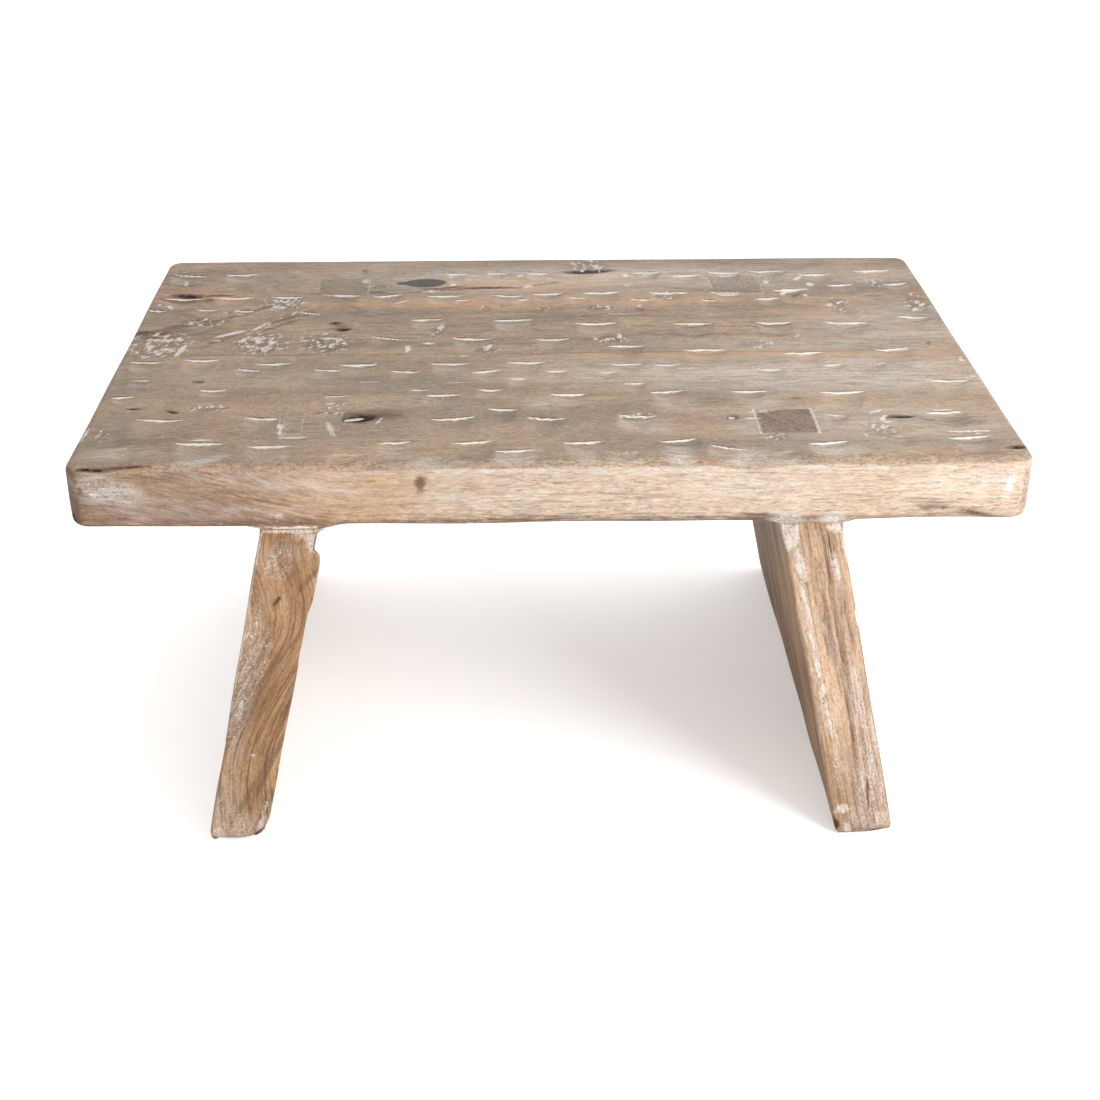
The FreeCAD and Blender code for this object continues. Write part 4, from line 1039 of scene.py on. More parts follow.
def leg_shape(sizes, side, u, y, z, below):
    """Rounds a leg's edges below the seat, and wears its foot, dips its faces and bites its edges."""
    # Upright edges
    radius = sizes.leg_edge_radius * (0.7 + 0.6 * waves(31 + side, 0.05, z))
    middle_y, half_depth = (LEG_FRONT + LEG_REAR) / 2, (LEG_REAR - LEG_FRONT) / 2
    back = y - middle_y
    way = np.where(back < 0, -1, 1)
    u, back, inset, out_u, out_y = round_uprights(
        u, back, HALF_LEG, way * half_depth, way, radius, below)

    # The foot's edge, rounder at the front of the left leg and worn on the outer side of the right
    foot_radius = sizes.foot_edge_radius * (0.9 + 0.4 * waves(41 + side, 0.05, u, y))
    if side < 0:
        at_front = 1 - smooth(y, LEG_FRONT + 70 * MM, LEG_FRONT + 170 * MM)
        foot_radius = foot_radius * (1 + at_front * (1.0 + 1.5 * smooth(-u / HALF_LEG, 0, 1)))
    new_inset, rise = ease_edge(inset, z, np.where(below, foot_radius, 0))
    new_inset = np.where(below, new_inset, inset)
    z = np.where(below, rise, z)
    if side > 0:
        z = z + FOOT_WEAR * smooth(u / HALF_LEG, -0.4, 1) ** 2 * (1 - smooth(z, 0, 30 * MM))
    moved = new_inset - inset
    u, back = u - out_u * moved, back - out_y * moved
    y = middle_y + back

    # Faces that dip a little below true, and bitten edges
    dip = below * (1 - smooth(z, UNDERSIDE - 8 * MM, UNDERSIDE)) * sizes.unevenness
    u = u - np.sign(u) * (np.abs(u) / HALF_LEG) ** 6 * dip * 1.1 * waves(51 + side, 0.09, y, z)
    y = y - np.sign(back) * (np.abs(back) / half_depth) ** 16 * dip * waves(61 + side, 0.07, u, z)
    if side < 0:
        hollow = smooth(y, LEG_FRONT, LEG_FRONT + 50 * MM) * smooth(-u / HALF_LEG, 0.0, 0.9) * below
        hollow = hollow * (1 - smooth(z, UNDERSIDE - 22 * MM, UNDERSIDE - 4 * MM))
        u = u + INNER_HOLLOW * hollow
    for out, at_front, height_share, reach, depth, run in LEG_BITES[side]:
        bite_u, bite_y = out * HALF_LEG, LEG_FRONT if at_front else LEG_REAR
        aside = np.hypot(np.maximum(np.abs(u - bite_u) - 4 * MM, 0) / (9 * MM), (y - bite_y) / (run * MM))
        push = depth * MM * (1 - smooth(aside, 0, 1)) * below
        middle_z = height_share * UNDERSIDE - 0.5 * np.abs(y - bite_y)
        push = push * (1 - smooth(np.abs(z - middle_z), 0.55 * reach * MM, reach * MM))
        u = u - out * push
        y = y - math.copysign(0.4, bite_y) * push
    return u, y, z


def mark_leg(fields, marks, side, u, x, y, z, below, on_top):
    """Adds to a leg's fields the marks on its sides, its putty, its end grain and its grain."""
    x_rel = side * u
    on_front = 1 - smooth(y, LEG_FRONT + 2 * MM, LEG_FRONT + 10 * MM)
    random = np.random.default_rng(70 + side)
    for kind in ("white", "speck", "dark", "brown", "haze", "warm"):
        shown = ovals(marks.get(kind, ()), x_rel + HALF_LEG, -z, 2 * HALF_LEG, -UNDERSIDE)
        strengthen(fields, kind, shown * on_front * (1 - on_top))
        # The other sides, which the photo hides or shows edge on, have random marks
        hidden = [(random.uniform(0, 1), random.uniform(0, 1), random.uniform(8, 50),
                   random.uniform(1.5, 8), random.uniform(80, 100), random.uniform(0.2, 0.7))
                  for n in range(14)]
        broad = ovals(hidden, y - LEG_FRONT, -z, LEG_REAR - LEG_FRONT, -UNDERSIDE)
        strengthen(fields, kind, broad * (1 - on_front) * (1 - on_top) * 0.8)
        narrow = ovals(hidden[:9], x_rel + HALF_LEG, -z, 2 * HALF_LEG, -UNDERSIDE)
        on_back = smooth(y, LEG_REAR - 10 * MM, LEG_REAR - 2 * MM)
        fields[kind] = np.maximum(fields[kind] * (1 - on_back), narrow * on_back)
    strengthen(fields, "white", putty_lines(x, y, SEAT_TOP) * on_top)

    # Whitewash smeared under the seat on the inner side, the tenons' and the foot's end grain, and
    # the painted shade that darkens the inner side under the seat
    smear = smooth(z, 0.925 * UNDERSIDE, 0.945 * UNDERSIDE) * (u < -0.9 * HALF_LEG)
    strengthen(fields, "white", smear * (1 - smooth(y, LEG_FRONT, SEAM)) * below * 0.9)
    bare = np.where(y < SEAM, END_GRAIN[side, "front"], END_GRAIN[side, "rear"])
    fields["end"] = np.maximum(on_top * bare, (1 - smooth(z, 0, 2.5 * MM)) * below)
    # Painted shade: the inner side is browned where it lies under the seat
    painted_inner_shade = smooth(-u / HALF_LEG, 0.75, 0.95) * smooth(y, LEG_FRONT + 20 * MM, SEAM) * below
    strengthen(fields, "brown", 0.52 * painted_inner_shade)
    fields["foot"] = (1 - smooth(z, 0, 14 * MM)) * below

    # The left leg's grain slants across its front
    slant = x_rel
    if side < 0:
        tilt = 0.34 * smooth(z / UNDERSIDE, 0.0, 0.5) * (1 - smooth(z / UNDERSIDE, 0.62, 0.95))
        slant = x_rel - tilt * (z - 0.5 * UNDERSIDE)
    fields["grain"] = np.stack([z, slant, y], axis=1)


def make_leg(node, side, marks, material):
    """One slab leg with its two through tenons. Its lattice runs outwards, rearwards and up."""
    sizes = bpy.context.scene.stool_sizes
    us, ys, zs, filled = leg_lattice(sizes, side < 0)

    def place(keys):
        return np.stack([us[keys[:, 0]], ys[keys[:, 1]], zs[keys[:, 2]]], axis=1)

    def side_weight(facing, plane):
        if facing >= 4:
            return 1
        outer = plane in (0, (len(us), len(ys))[facing // 2] - 1)
        return 0.3 if not outer else 0.8 if facing < 2 else 1.2

    quads, labels = skin(filled)
    mesh, flat = build_mesh(node + "_slab", quads, labels, place, side_weight)
    u, y, z = flat.T
    below = z < UNDERSIDE + TOUCH
    u, y, z = leg_shape(sizes, side, u, y, z, below)
    x = side * (leg_middle(z) + u)
    height, top = top_fields(sizes, x, y)
    on_top = smooth(z, SEAT_TOP - 4 * MM, SEAT_TOP - 1 * MM)
    z = np.minimum(z, height)
    fields = faded(top, on_top)
    mark_leg(fields, marks, side, u, x, y, z, below, on_top)
    return finish_piece(mesh, np.stack([x, y, z], axis=1), fields, node, material)


def make_shim(material):
    """The wedge let into the outer part of the front left tenon."""
    us = np.linspace(0, 1, 11)
    ys = np.linspace(SHIM_LOW.y, SHIM_HIGH.y, 25)
    zs = np.linspace(SHIM_LOW.z, SEAT_TOP, 13)

    def place(keys):
        z = zs[keys[:, 2]]
        inner = HALF_TENON - SHIM_THICKNESS + SHIM_TAPER * (SEAT_TOP - z) / (SEAT_TOP - SHIM_LOW.z)
        return np.stack([inner + (HALF_TENON - inner) * us[keys[:, 0]], ys[keys[:, 1]], z], axis=1)

    quads, labels = skin(np.ones((len(us) - 1, len(ys) - 1, len(zs) - 1), bool))
    mesh, flat = build_mesh("tenon_shim_wedge", quads, labels, place, lambda facing, plane: 1)
    u, y, z = flat.T.copy()
    x = -(leg_middle(z) + u)
    height, top = top_fields(bpy.context.scene.stool_sizes, x, y)
    on_top = smooth(z, SEAT_TOP - 4 * MM, SEAT_TOP - 1 * MM)
    fields = faded(top, on_top)
    z = np.minimum(z, height)
    rims = np.minimum.reduce([u - u.min(), HALF_TENON - u, y - SHIM_LOW.y, SHIM_HIGH.y - y])
    strengthen(fields, "white", on_top * 0.9 * np.clip(1 - rims / (1.2 * MM), 0, 1))
    fields["end"] = on_top * END_GRAIN[-1, "front"]
    fields["foot"] = np.zeros(len(x))
    fields["grain"] = np.stack([z, x, y], axis=1)
    places = np.stack([x, y, z], axis=1)
    return finish_piece(mesh, places, fields, "tenon_shim", material)


# Finishes


class Wire:
    """A socket in a finish's node tree. Arithmetic on wires adds Math or Vector Math nodes."""

    def __init__(self, finish, socket):
        self.finish = finish
        self.socket = socket

    def maths(self, operation, *values):
        """A Math node, a Vector Math node where a value is a vector, or a scaling of a vector."""
        many = [v.socket.type in ("VECTOR", "RGBA") if isinstance(v, Wire) else isinstance(v, tuple)
                for v in values]
        if operation == "MULTIPLY" and many == [True, False]:
            sockets = {0: values[0], "Scale": values[1]}
            return self.finish.node("ShaderNodeVectorMath", {"operation": "SCALE"}, sockets)
        kind = "ShaderNodeVectorMath" if any(many) else "ShaderNodeMath"
        return self.finish.node(kind, {"operation": operation}, dict(enumerate(values)))

    def __add__(self, other):
        return self.maths("ADD", self, other)

    def __radd__(self, other):
        return self.maths("ADD", other, self)

    def __sub__(self, other):
        return self.maths("SUBTRACT", self, other)

    def __rsub__(self, other):
        return self.maths("SUBTRACT", other, self)

    def __mul__(self, other):
        return self.maths("MULTIPLY", self, other)

    __rmul__ = __mul__

    def __truediv__(self, other):
        return self.maths("DIVIDE", self, other)

    def __pow__(self, other):
        return self.maths("POWER", self, other)

    def __or__(self, other):
        """The larger of the two."""
        return self.maths("MAXIMUM", self, other)

    def __and__(self, other):
        """The smaller of the two."""
        return self.maths("MINIMUM", self, other)


class Finish:
    """One material and the nodes that make it."""

    def __init__(self, name):
        self.material = bpy.data.materials.new(name)
        self.material.use_nodes = True
        self.tree = self.material.node_tree
        self.tree.nodes.clear()

    def node(self, kind, settings=None, sockets=None, output=0):
        """Adds a node: its settings are set first, then its sockets are set or linked."""
        made = self.tree.nodes.new(kind)
        for name, value in (settings or {}).items():
            setattr(made, name, value)
        for name, value in (sockets or {}).items():
            if isinstance(value, Wire):
                self.tree.links.new(value.socket, made.inputs[name])
            else:
                made.inputs[name].default_value = value
        return Wire(self, made.outputs[output]) if len(made.outputs) else None

    def field(self, name):
        """A number stored at the mesh's vertices."""
        return self.node("ShaderNodeAttribute", {"attribute_name": name}, output="Fac")

    def grain(self, shift):
        """The place along, across and through the grain, moved so that no two pieces match."""
        stored = self.node("ShaderNodeAttribute", {"attribute_name": "grain"}, output="Vector")
        return stored + shift

    def noise(self, place, detail=2.0, roughness=0.5, dimensions="3D"):
        """Smooth noise from 0 to 1 with one swell for each unit of the place."""
        socket = "W" if dimensions == "1D" else "Vector"
        return self.node(
            "ShaderNodeTexNoise", {"noise_dimensions": dimensions},
            {socket: place, "Scale": 1.0, "Detail": detail, "Roughness": roughness})

    def rise(self, value, low, high):
        """0 below low, 1 above high, and a smooth rise between."""
        return self.node(
            "ShaderNodeMapRange", {"interpolation_type": "SMOOTHSTEP"},
            {"Value": value, "From Min": low, "From Max": high, "To Min": 0.0, "To Max": 1.0})

    def turned(self, place, degrees):
        """The place turned about the third axis."""
        return self.node(
            "ShaderNodeVectorRotate", {"rotation_type": "Z_AXIS"},
            {"Vector": place, "Angle": math.radians(degrees)})

    def mix(self, share, base, other):
        """Two colours mixed by a share."""
        base, other = [c if isinstance(c, Wire) else tuple(c) + (1.0,) for c in (base, other)]
        return self.node("ShaderNodeMix", {"data_type": "RGBA"}, {0: share, 6: base, 7: other}, output=2)

    def parts(self, vector):
        """A vector's three numbers."""
        split = self.node("ShaderNodeSeparateXYZ", sockets={0: vector})
        return [Wire(self, output) for output in split.socket.node.outputs]

    def close(self, colour, roughness, height, bump_depth, glow=0.0):
        """Joins the colour, roughness and height to the surface."""
        normal = self.node("ShaderNodeBump", sockets={
            "Height": height, "Distance": bump_depth, "Strength": 1.0})
        surface = self.node("ShaderNodeBsdfPrincipled", sockets={
            "Base Color": colour, "Roughness": roughness, "Normal": normal, "Specular IOR Level": SHINE,
            "Emission Color": (1.0, 1.0, 1.0, 1.0), "Emission Strength": glow})
        self.node("ShaderNodeOutputMaterial", sockets={"Surface": surface})
        return self.material


def timber(finish, grain, light, shaded, line, pith, ring_gap, streak_length, drift_width,
           stripes, tinting):
    """Bare wood: its colour, and its streaks, fibres, pores, growth rings and tint.

    light, shaded and line are the colours of its pale parts, its darker parts and its lines, pith
    is the place of the trunk's middle, and stripes and tinting say how strong the lines and the
    changes of hue are.
    """
    drift = (finish.noise(grain * (6.0, 11.0, 11.0), 2.0) - 0.5) * drift_width
    grain = grain + finish.node("ShaderNodeCombineXYZ", sockets={"Y": drift, "Z": drift})
    sway = finish.noise(grain * (5.0, 16.0, 16.0), 2.0)
    along, across, deep = finish.parts(grain)
    beside = across - pith[0] + (sway - 0.5) * 0.030
    under = deep - pith[1] + (sway - 0.5) * 0.012
    radius = (beside * beside + under * under) ** 0.5
    rings = finish.noise(radius * (1 / ring_gap), 3.0, 0.6, "1D")
    tone = finish.noise(grain * (9.0, 34.0, 34.0), 3.0, 0.55)
    streak = finish.noise(grain * (1 / streak_length, 330.0, 330.0), 4.0, 0.65)
    fibre = finish.noise(grain * (110.0, 700.0, 700.0), 3.0, 0.65)
    mottle = finish.noise(grain * (330.0, 900.0, 900.0), 2.0, 0.65)
    pores = finish.rise(finish.noise(grain * (240.0, 1500.0, 1500.0), 1.0), 0.60, 0.70)
    colour = finish.mix(finish.rise(tone, 0.30, 0.70), light, shaded)
    colour = finish.mix(finish.rise(rings, 0.50, 0.74) * (0.36 * stripes), colour, line)
    colour = finish.mix(finish.rise(streak, 0.50, 0.72) * (0.42 * stripes), colour, line)
    tint = finish.noise(grain * (130.0, 620.0, 620.0) + (8.0, 3.0, 5.0), 4.0, 0.65)
    tint = finish.mix(finish.rise(tint, 0.36, 0.64), (1.13, 0.945, 1.04), (0.91, 1.055, 0.90))
    tint = finish.mix(tinting, (1.0, 1.0, 1.0), tint)
    lively = (streak - 0.5) * -0.35 * stripes + (fibre - 0.5) * 0.95 + (mottle - 0.5) * 0.95 + 1.0
    return colour * tint * lively, streak, fibre, pores, rings, tint


def whitewash(finish, grain, fields, residue, softness, fleck_size, fleck_turn):
    """How much whitewash lies on the wood: on the cuts' walls, in marks, flecks and hazes, and as a
    thin residue all over; one mark and one haze on the seat's front face are a painted highlight
    laid in the same whitewash. Gives two of its noises too."""
    patchy = finish.noise(grain * (110.0, 190.0, 190.0), 4.0, 0.65)
    broken = finish.noise(grain * (520.0, 700.0, 700.0), 2.0, 0.6)
    bent = grain + finish.node("ShaderNodeCombineXYZ", sockets={"X": (patchy - 0.5) * 6 * MM})
    flecks_in_a_metre = (1 / (1.5 * fleck_size), 1 / (0.85 * fleck_size), 1 / fleck_size)
    splash = finish.turned(bent, -fleck_turn) * flecks_in_a_metre
    fleck = finish.noise(splash, 3.0, 0.62) + (patchy - 0.5) * 0.15
    wobble = finish.noise(grain * (150.0, 150.0, 150.0), 2.0) - 0.5
    on_wall = finish.rise(fields["rim"] + wobble * 0.8, -0.30, 0.10)
    on_wall = on_wall * (1.0 - finish.rise(fields["rim"] + wobble * 1.6, 0.40, 1.00))
    on_wall = on_wall * finish.rise(fields["lip"] + (patchy - 0.5) * 1.8 + (broken - 0.5) * 0.7, 0.15, 0.90)
    white = fields["white"] + (patchy - 0.5) * 1.0 + (broken - 0.5) * 0.7
    white = finish.rise(white, 0.56 - softness, 0.66 + softness)
    speck = finish.rise(fleck + fields["speck"] * 0.10 + (broken - 0.5) * 0.16, 0.565, 0.700) * 0.84
    speck = speck * finish.rise(fields["speck"], 0.06, 0.40)
    brushed = finish.noise(grain * (48.0, 270.0, 270.0) + (2.0, 6.0, 4.0), 4.0, 0.68)
    haze = fields["haze"] * (finish.rise(brushed + (broken - 0.5) * 0.5, 0.32, 0.66) * 0.56 + 0.14)
    thin = finish.rise(patchy + (broken - 0.5) * 0.9, 0.52, 0.84) * residue
    kept_dark = 1.0 - finish.rise(fields["dark"] | fields["knot"], 0.35, 0.7) * 0.9
    return (on_wall | (white * 0.86) | speck) | ((haze | thin) * kept_dark), patchy, broken


def sawn_edge(finish, grain, fields, warm, ragged, streak, fibre, rings, tint):
    """The colour of the seat's sawn edges, which are paler than its top."""
    tones = bpy.context.scene.stool_colours
    dashes = finish.noise(grain * (170.0, 900.0, 1100.0), 3.0, 0.7)
    threads = finish.noise(grain * (34.0, 640.0, 640.0) + (1.0, 2.0, 3.0), 3.0, 0.6)
    pale = finish.mix(finish.rise(streak, 0.42, 0.72) * 0.40, tones.cream, tones.orange)
    pale = finish.mix(finish.rise(threads, 0.52, 0.66) * 0.34, pale, tones.brown)
    pale = finish.mix(finish.rise(rings, 0.50, 0.76) * 0.34, pale, tones.brown)
    pale = finish.mix(finish.rise(dashes, 0.55, 0.68) * 0.55, pale, tones.brown)
    pale = pale * finish.mix(0.45, (1.0, 1.0, 1.0), tint) * ((fibre - 0.5) * 1.15 + ragged * 0.4 + 1.10)
    strokes = finish.noise(grain * (150.0, 760.0, 900.0) + (7.0, 2.0, 5.0), 3.0, 0.75)
    strokes = finish.rise(strokes, 0.48, 0.62)
    pale = pale * finish.mix(strokes * 0.85, (1.05, 1.05, 1.07), (1.00, 0.92, 0.80))
    warmth = warm * 0.66
    glow = (fibre * 0.6 + (dashes - 0.5) * -0.6 + 0.58) * tuple(tones.orange)
    pale = finish.mix(warmth, pale, glow)
    stained = fields["brown"] + (streak - 0.5) * 0.9 + (threads - 0.5) * 1.6 + (dashes - 0.5) * 0.9
    stained = finish.rise(stained, 0.20, 1.05) * fields["side"]
    pale = finish.mix(stained * 0.58, pale, tones.brown)
    greyed = finish.rise(fields["grey"] + ragged * 0.9 + (threads - 0.5) * 1.4, 0.30, 1.10)
    return finish.mix(greyed * 0.50, pale, tones.slate)


def seat_finish(name, shift, pith, stripes):
    """Greyed, rubbed and whitewashed seat wood."""
    tones = bpy.context.scene.stool_colours
    finish = Finish(name)
    grain = finish.grain(shift)
    kinds = MARK_KINDS + ("rim", "lip", "facet", "side", "end", "under", "seam")
    fields = {kind: finish.field(kind) for kind in kinds}
    colour, streak, fibre, pores, rings, tint = timber(
        finish, grain, tones.tan, tones.grey, tones.brown, pith,
        8 * MM, 34 * MM, 45 * MM, stripes, 0.9)
    cloudy = finish.noise(grain * (15.0, 34.0, 34.0), 3.0, 0.6)
    ragged = finish.noise(grain * (75.0, 420.0, 420.0), 3.0, 0.65) - 0.5
    torn = finish.noise(grain * (240.0, 330.0, 330.0), 3.0, 0.65) - 0.5
    greyness = finish.rise(fields["grey"] + (cloudy - 0.5) * 1.4, 0.2, 1.0)
    colour = finish.mix(greyness * 0.4, colour, tones.grey)
    rosy = finish.noise(grain * (22.0, 62.0, 62.0), 3.0, 0.6)
    colour = finish.mix(finish.rise(rosy, 0.48, 0.66) * 0.42, colour, tones.rose)
    warm = finish.rise(fields["warm"] + (cloudy - 0.5) * 1.2 + ragged * 0.7, 0.12, 0.95)
    colour = finish.mix(warm * 0.66, colour, (fibre * 0.6 + 0.7) * tuple(tones.orange))
    # Painted light and shade: each cut's floor is made lighter or darker, as a tilted facet would look
    # under the lights
    colour = colour * (1.0 + fields["facet"] * 0.13)

    # The sawn edges are paler, and the worn rounding between them and the top is ragged
    pale = sawn_edge(finish, grain, fields, warm, ragged, streak, fibre, rings, tint)
    speckled = finish.noise(grain * (380.0, 520.0, 520.0), 3.0, 0.7) - 0.5
    side = finish.rise(fields["side"] + (cloudy - 0.5) * 0.4 + ragged * 0.8 + speckled * 1.5, 0.32, 0.74)
    colour = finish.mix(side * (1.0 - fields["under"] * 0.55), colour, pale)
    rounding = finish.rise(fields["side"], 0.0, 0.3) * (1.0 - finish.rise(fields["side"], 0.6, 1.0))
    colour = finish.mix(rounding * finish.rise(speckled, -0.02, 0.16) * 0.62, colour, tones.brown)
    colour = finish.mix(pores * (0.34 - side * 0.16), colour, tones.brown)
    colour = finish.mix(fields["end"] * 0.35, colour, tones.tan)

    # Stains, painted shade above the cuts' rims and round the flecks, knots and cracks
    browned = finish.rise(fields["brown"] + ragged * 1.5, 0.10, 0.95) * 0.72
    # Painted shade: the wood round the whitewash flecks is browned as shade in their hollows; the same mask
    # also lowers the height
    shaded_recess = finish.rise(fields["speck"] + torn * 0.5, 0.15, 0.75) * 0.42
    # Painted shade: a thin brown line just above each cut's whitewashed wall
    above = finish.rise(fields["rim"] + torn, -2.4, -0.8) * (1.0 - finish.rise(fields["rim"], -0.5, 0.1))
    above = above * finish.rise(fields["lip"] + ragged, 0.3, 1.4) * 0.58
    halo = finish.rise(fields["dark"] + ragged * 1.1, 0.02, 0.50) * 0.80
    colour = finish.mix(browned | shaded_recess | above | halo, colour, tones.brown)
    knot = finish.rise(fields["knot"] + ragged * 0.35 + torn * 0.25, 0.40, 0.62)
    colour = finish.mix(knot * 0.92, colour, tones.slate)
    dark = finish.rise(fields["dark"] + ragged * 1.2 + torn * 1.0, 0.50, 0.95)
    colour = finish.mix(dark * 0.97, colour, tones.dark)
    colour = finish.mix(finish.rise(fields["seam"], 0.35, 0.95) * 0.55, colour, tones.brown)
    paint, patchy, _ = whitewash(finish, grain, fields, 0.22, 0.10, 4.2 * MM, 66)
    colour = finish.mix(paint, colour, tones.wash)
    roughness = 0.60 + paint * 0.15 + (cloudy - 0.5) * 0.12 - knot * 0.12
    height = streak * 0.35 + fibre * 0.35 - pores * 0.35 + paint * (0.3 + patchy * 0.5)
    height = height - dark * 0.9 - shaded_recess
    return finish.close(colour, roughness, height, 0.35 * MM)


def leg_finish(name, shift, pith, tone_and_painted_light):
    """Tan leg wood with rubbed whitewash and brown end grain. The last argument makes it paler or
    darker: partly the wood's own tone, partly painted light and shade.
    """
    tones = bpy.context.scene.stool_colours
    finish = Finish(name)
    grain = finish.grain(shift)
    fields = {kind: finish.field(kind) for kind in MARK_KINDS + ("rim", "lip", "end", "foot")}
    colour, streak, fibre, pores, rings, tint = timber(
        finish, grain, tones.leg_tan, tones.leg_brown, tones.brown, pith,
        3.6 * MM, 80 * MM, 12 * MM, 1.0, 0.45)
    cloudy = finish.noise(grain * (12.0, 60.0, 60.0), 3.0, 0.6)
    ragged = finish.noise(grain * (45.0, 520.0, 520.0), 3.0, 0.65) - 0.5
    torn = finish.noise(grain * (240.0, 330.0, 330.0), 3.0, 0.65) - 0.5
    warm = finish.rise(fields["warm"] + (cloudy - 0.5) * 1.2 + ragged * 0.6, 0.1, 1.1)
    # Paler or darker by the last argument: partly the wood's own tone, partly painted light and shade
    colour = finish.mix(warm * 0.6, colour, tones.orange) * tone_and_painted_light
    colour = finish.mix(pores * 0.42, colour, tones.brown)
    split = finish.noise(grain * (13.0, 560.0, 560.0) + (4.0, 7.0, 1.0), 2.0, 0.5)
    colour = finish.mix(finish.rise(split, 0.56, 0.63) * 0.62, colour, tones.brown)
    # The brown field also holds the painted shade on the legs' inner sides
    browned = finish.rise(fields["brown"] + ragged * 1.6, 0.18, 0.95) * 0.66
    halo = finish.rise(fields["dark"] + ragged * 0.8, 0.05, 0.6) * 0.5
    colour = finish.mix(browned | halo | (fields["foot"] * 0.30), colour, tones.brown)
    colour = finish.mix(finish.rise(fields["grey"] + (cloudy - 0.5), 0.3, 0.9) * 0.5, colour, tones.grey)
    end = finish.mix(finish.rise(rings, 0.46, 0.60) * 0.78, tones.end_grain, tones.brown)
    end = finish.mix(finish.rise(cloudy, 0.35, 0.7) * 0.25, end, tones.tan) * tint
    planed = finish.noise(grain * (330.0, 34.0, 330.0), 4.0, 0.65)
    top = finish.mix(finish.rise(planed, 0.35, 0.65), tones.tan, tones.grey)
    top = top * tint * ((fibre - 0.5) * 0.8 + 1.0)
    top = finish.mix(finish.rise(planed, 0.52, 0.72) * 0.4, top, tones.brown)
    end = finish.mix(finish.rise(fields["end"], 0.24, 0.5), top * (1.0 - (fields["end"] & 0.3) * 1.2), end)
    colour = finish.mix(finish.rise(fields["end"], 0.0, 0.05) * 0.96, colour, end)
    dark = finish.rise(fields["dark"] + ragged * 0.5 + torn * 0.4, 0.40, 0.80)
    colour = finish.mix(dark * 0.72, colour, tones.dark)
    paint, patchy, broken = whitewash(finish, grain, fields, 0.10, 0.30, 1.2 * MM, 4)
    brushed = finish.noise(grain * (26.0, 520.0, 520.0), 3.0, 0.65)
    brushed = finish.rise(brushed + (broken - 0.5) * 0.6, 0.32, 0.66)
    paint = paint * (0.40 + brushed * 0.46)
    colour = finish.mix(paint, colour, tones.wash)
    roughness = 0.58 + paint * 0.16 + (cloudy - 0.5) * 0.1
    height = streak * 0.45 + fibre * 0.40 - pores * 0.45 + paint * (0.3 + patchy * 0.4) - dark * 0.8
    return finish.close(colour, roughness, height, 0.4 * MM)


def dowel_finish(name):
    """Raw turned wood for the hidden dowels."""
    tones = bpy.context.scene.stool_colours
    finish = Finish(name)
    place = finish.node("ShaderNodeTexCoord", output="Object")
    grain = place * (300.0, 60.0, 300.0)
    fibre = finish.noise(grain, 4.0, 0.6)
    bands = finish.noise(place * (40.0, 900.0, 40.0), 2.0)
    colour = finish.mix(finish.rise(fibre, 0.4, 0.7) * 0.4, tones.dowel, tones.leg_brown)
    colour = finish.mix(finish.rise(bands, 0.55, 0.75) * 0.2, colour, tones.brown)
    return finish.close(colour, 0.6 + (fibre - 0.5) * 0.1, fibre + bands * 0.3, 0.2 * MM)


def floor_finish(name):
    """A plain pale floor."""
    tones = bpy.context.scene.stool_stage
    finish = Finish(name)
    place = finish.node("ShaderNodeTexCoord", output="Object")
    cloud = finish.noise(place * (3.0, 3.0, 3.0), 2.0)
    colour = finish.mix(cloud * 0.04, tones.floor_tone, (0.8, 0.8, 0.8))
    return finish.close(colour, 0.85 + (cloud - 0.5) * 0.05, cloud, 0.05 * MM, glow=FLOOR_GLOW)


# Operators


class STOOL_OT_seat(bpy.types.Operator):
    """Make the two carved seat boards"""

    bl_idname = "stool.make_seat"
    bl_label = "Seat Boards"

    def execute(self, context):
        front = seat_finish("front_board_wood", (3.1, 1.7, 0.4), (4.78, 0.52), 0.4)
        make_board("front_board", FRONT_LOW.y, SEAM, SEAT_FRONT, FRONT_TENON, front)
        rear = seat_finish("rear_board_wood", (7.4, 5.3, 2.6), (5.36, 2.74), 0.9)
        make_board("rear_board", SEAM, REAR_HIGH.y, SEAT_REAR, REAR_TENON, rear)
        return {"FINISHED"}


class STOOL_OT_legs(bpy.types.Operator):
    """Make the two slab legs with their through tenons"""

    bl_idname = "stool.make_legs"
    bl_label = "Slab Legs"

    def execute(self, context):
        # The left leg is made darker and the right leg paler: partly their own tones, partly painted shade
        # and painted light, as the lights stand at the front right
        left = leg_finish("left_leg_wood", (1.3, 4.4, 2.2), (4.47, 2.0), (0.975, 0.945, 0.890))
        make_leg("left_leg", -1, LEFT_LEG_MARKS, left)
        right = leg_finish("right_leg_wood", (5.9, 2.8, 6.1), (2.72, 5.9), (1.05, 1.05, 1.06))
        make_leg("right_leg", 1, RIGHT_LEG_MARKS, right)
        return {"FINISHED"}


class STOOL_OT_shim(bpy.types.Operator):
    """Make the wedge beside the front left tenon"""

    bl_idname = "stool.make_shim"
    bl_label = "Tenon Shim"

    def execute(self, context):
        make_shim(leg_finish("shim_wood", (9.2, 8.1, 3.3), (8.2, 3.1), (1.0, 1.0, 1.0)))
        return {"FINISHED"}


class STOOL_OT_dowels(bpy.types.Operator):
    """Give the hidden dowels their raw wood"""

    bl_idname = "stool.finish_dowels"
    bl_label = "Seam Dowels"

    def execute(self, context):
        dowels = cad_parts["seat_dowels"]
        material = dowel_finish("dowel_raw_wood")
        for slot in dowels.material_slots:
            slot.material = material
        return {"FINISHED"}


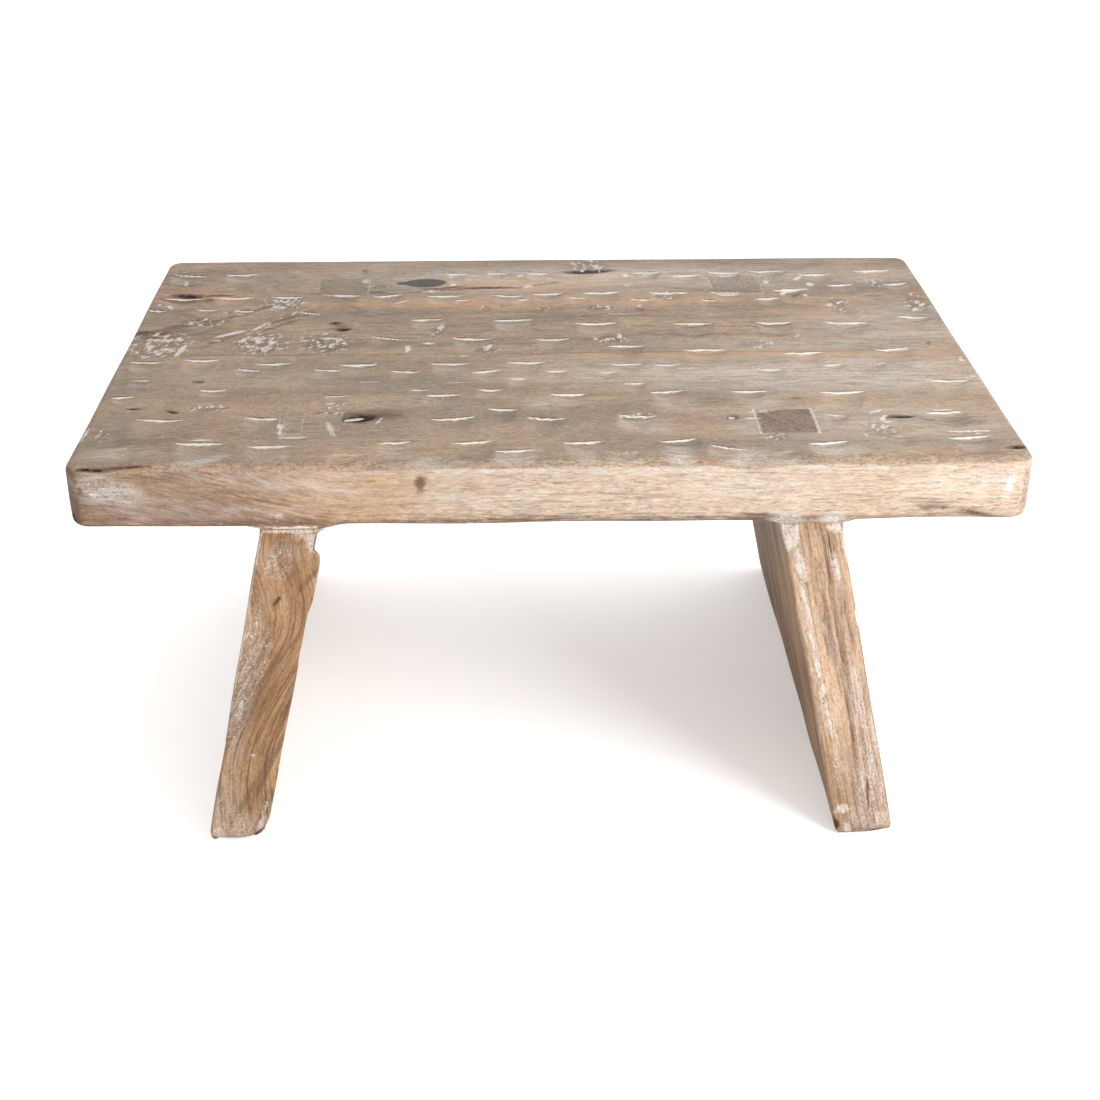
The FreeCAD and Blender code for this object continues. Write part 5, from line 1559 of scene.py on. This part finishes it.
class STOOL_OT_stage(bpy.types.Operator):
    """Set the floor, the lights and the camera"""

    bl_idname = "stool.set_stage"
    bl_label = "Stage"

    def execute(self, context):
        stage = context.scene.stool_stage
        corners = [(HALF_FLOOR * x, HALF_FLOOR * y, 0) for x, y in ((-1, -1), (1, -1), (1, 1), (-1, 1))]
        mesh = bpy.data.meshes.new("floor")
        mesh.from_pydata(corners, [], [(0, 1, 2, 3)])
        mesh.materials.append(floor_finish("plain_floor"))
        floor = bpy.data.objects.new("floor", mesh)
        context.scene.collection.objects.link(floor)
        for name, (power, place, target, size) in LAMPS.items():
            lamp(name, getattr(stage, power), place, target, size)
        world = bpy.data.worlds.new("room")
        world.use_nodes = True
        background = world.node_tree.nodes["Background"].inputs
        background["Color"].default_value = (1, 1, 1, 1)
        background["Strength"].default_value = stage.sky
        context.scene.world = world
        context.scene.view_settings.view_transform = "Standard"
        place_camera(stage)
        return {"FINISHED"}


def lamp(name, power, place, target, size):
    """A large soft square light that looks at a point."""
    light = bpy.data.lights.new(name, "AREA")
    light.energy = power
    light.size = size
    made = bpy.data.objects.new(name, light)
    made.location = place
    made.rotation_euler = (Vector(target) - Vector(place)).to_track_quat("-Z", "Y").to_euler()
    bpy.context.scene.collection.objects.link(made)


def place_camera(stage):
    """Sets the camera at the photograph's place."""
    pitch, yaw, roll = [math.radians(angle) for angle in (CAMERA_PITCH, CAMERA_YAW, CAMERA_ROLL)]
    level = math.cos(pitch)
    forward = Vector((math.sin(yaw) * level, math.cos(yaw) * level, -math.sin(pitch)))
    camera = bpy.data.cameras.new("camera")
    camera.sensor_width = SENSOR_WIDTH
    camera.lens = stage.focal_length
    made = bpy.data.objects.new("camera", camera)
    made.location = CAMERA_PLACE
    made.rotation_mode = "QUATERNION"
    made.rotation_quaternion = Quaternion(forward, roll) @ forward.to_track_quat("-Z", "Y")
    bpy.context.scene.collection.objects.link(made)
    bpy.context.scene.camera = made


class STOOL_PT_panel(bpy.types.Panel):
    """The stool's steps and settings"""

    bl_label = "Carved Plank Stool"
    bl_space_type = "VIEW_3D"
    bl_region_type = "UI"
    bl_category = "Stool"

    def draw(self, context):
        for step in STEPS:
            self.layout.operator(step.bl_idname)
        for name in SETTINGS:
            group = getattr(context.scene, name)
            box = self.layout.box()
            for prop in group.bl_rna.properties:
                if not prop.is_readonly and prop.identifier != "name":
                    box.prop(group, prop.identifier)


STEPS = (STOOL_OT_seat, STOOL_OT_legs, STOOL_OT_shim, STOOL_OT_dowels, STOOL_OT_stage)
SETTINGS = {"stool_sizes": StoolSizes, "stool_colours": StoolColours, "stool_stage": StoolStage}


def register():
    for group in SETTINGS.values():
        bpy.utils.register_class(group)
    for step in STEPS:
        bpy.utils.register_class(step)
    bpy.utils.register_class(STOOL_PT_panel)
    for name, group in SETTINGS.items():
        setattr(bpy.types.Scene, name, PointerProperty(type=group))


def unregister():
    for name in SETTINGS:
        delattr(bpy.types.Scene, name)
    bpy.utils.unregister_class(STOOL_PT_panel)
    for step in reversed(STEPS):
        bpy.utils.unregister_class(step)
    for group in reversed(SETTINGS.values()):
        bpy.utils.unregister_class(group)


def main():
    register()
    bpy.ops.stool.set_stage()
    bpy.ops.stool.make_seat()
    bpy.ops.stool.make_legs()
    bpy.ops.stool.make_shim()
    bpy.ops.stool.finish_dowels()


if __name__ == "__main__":
    main()
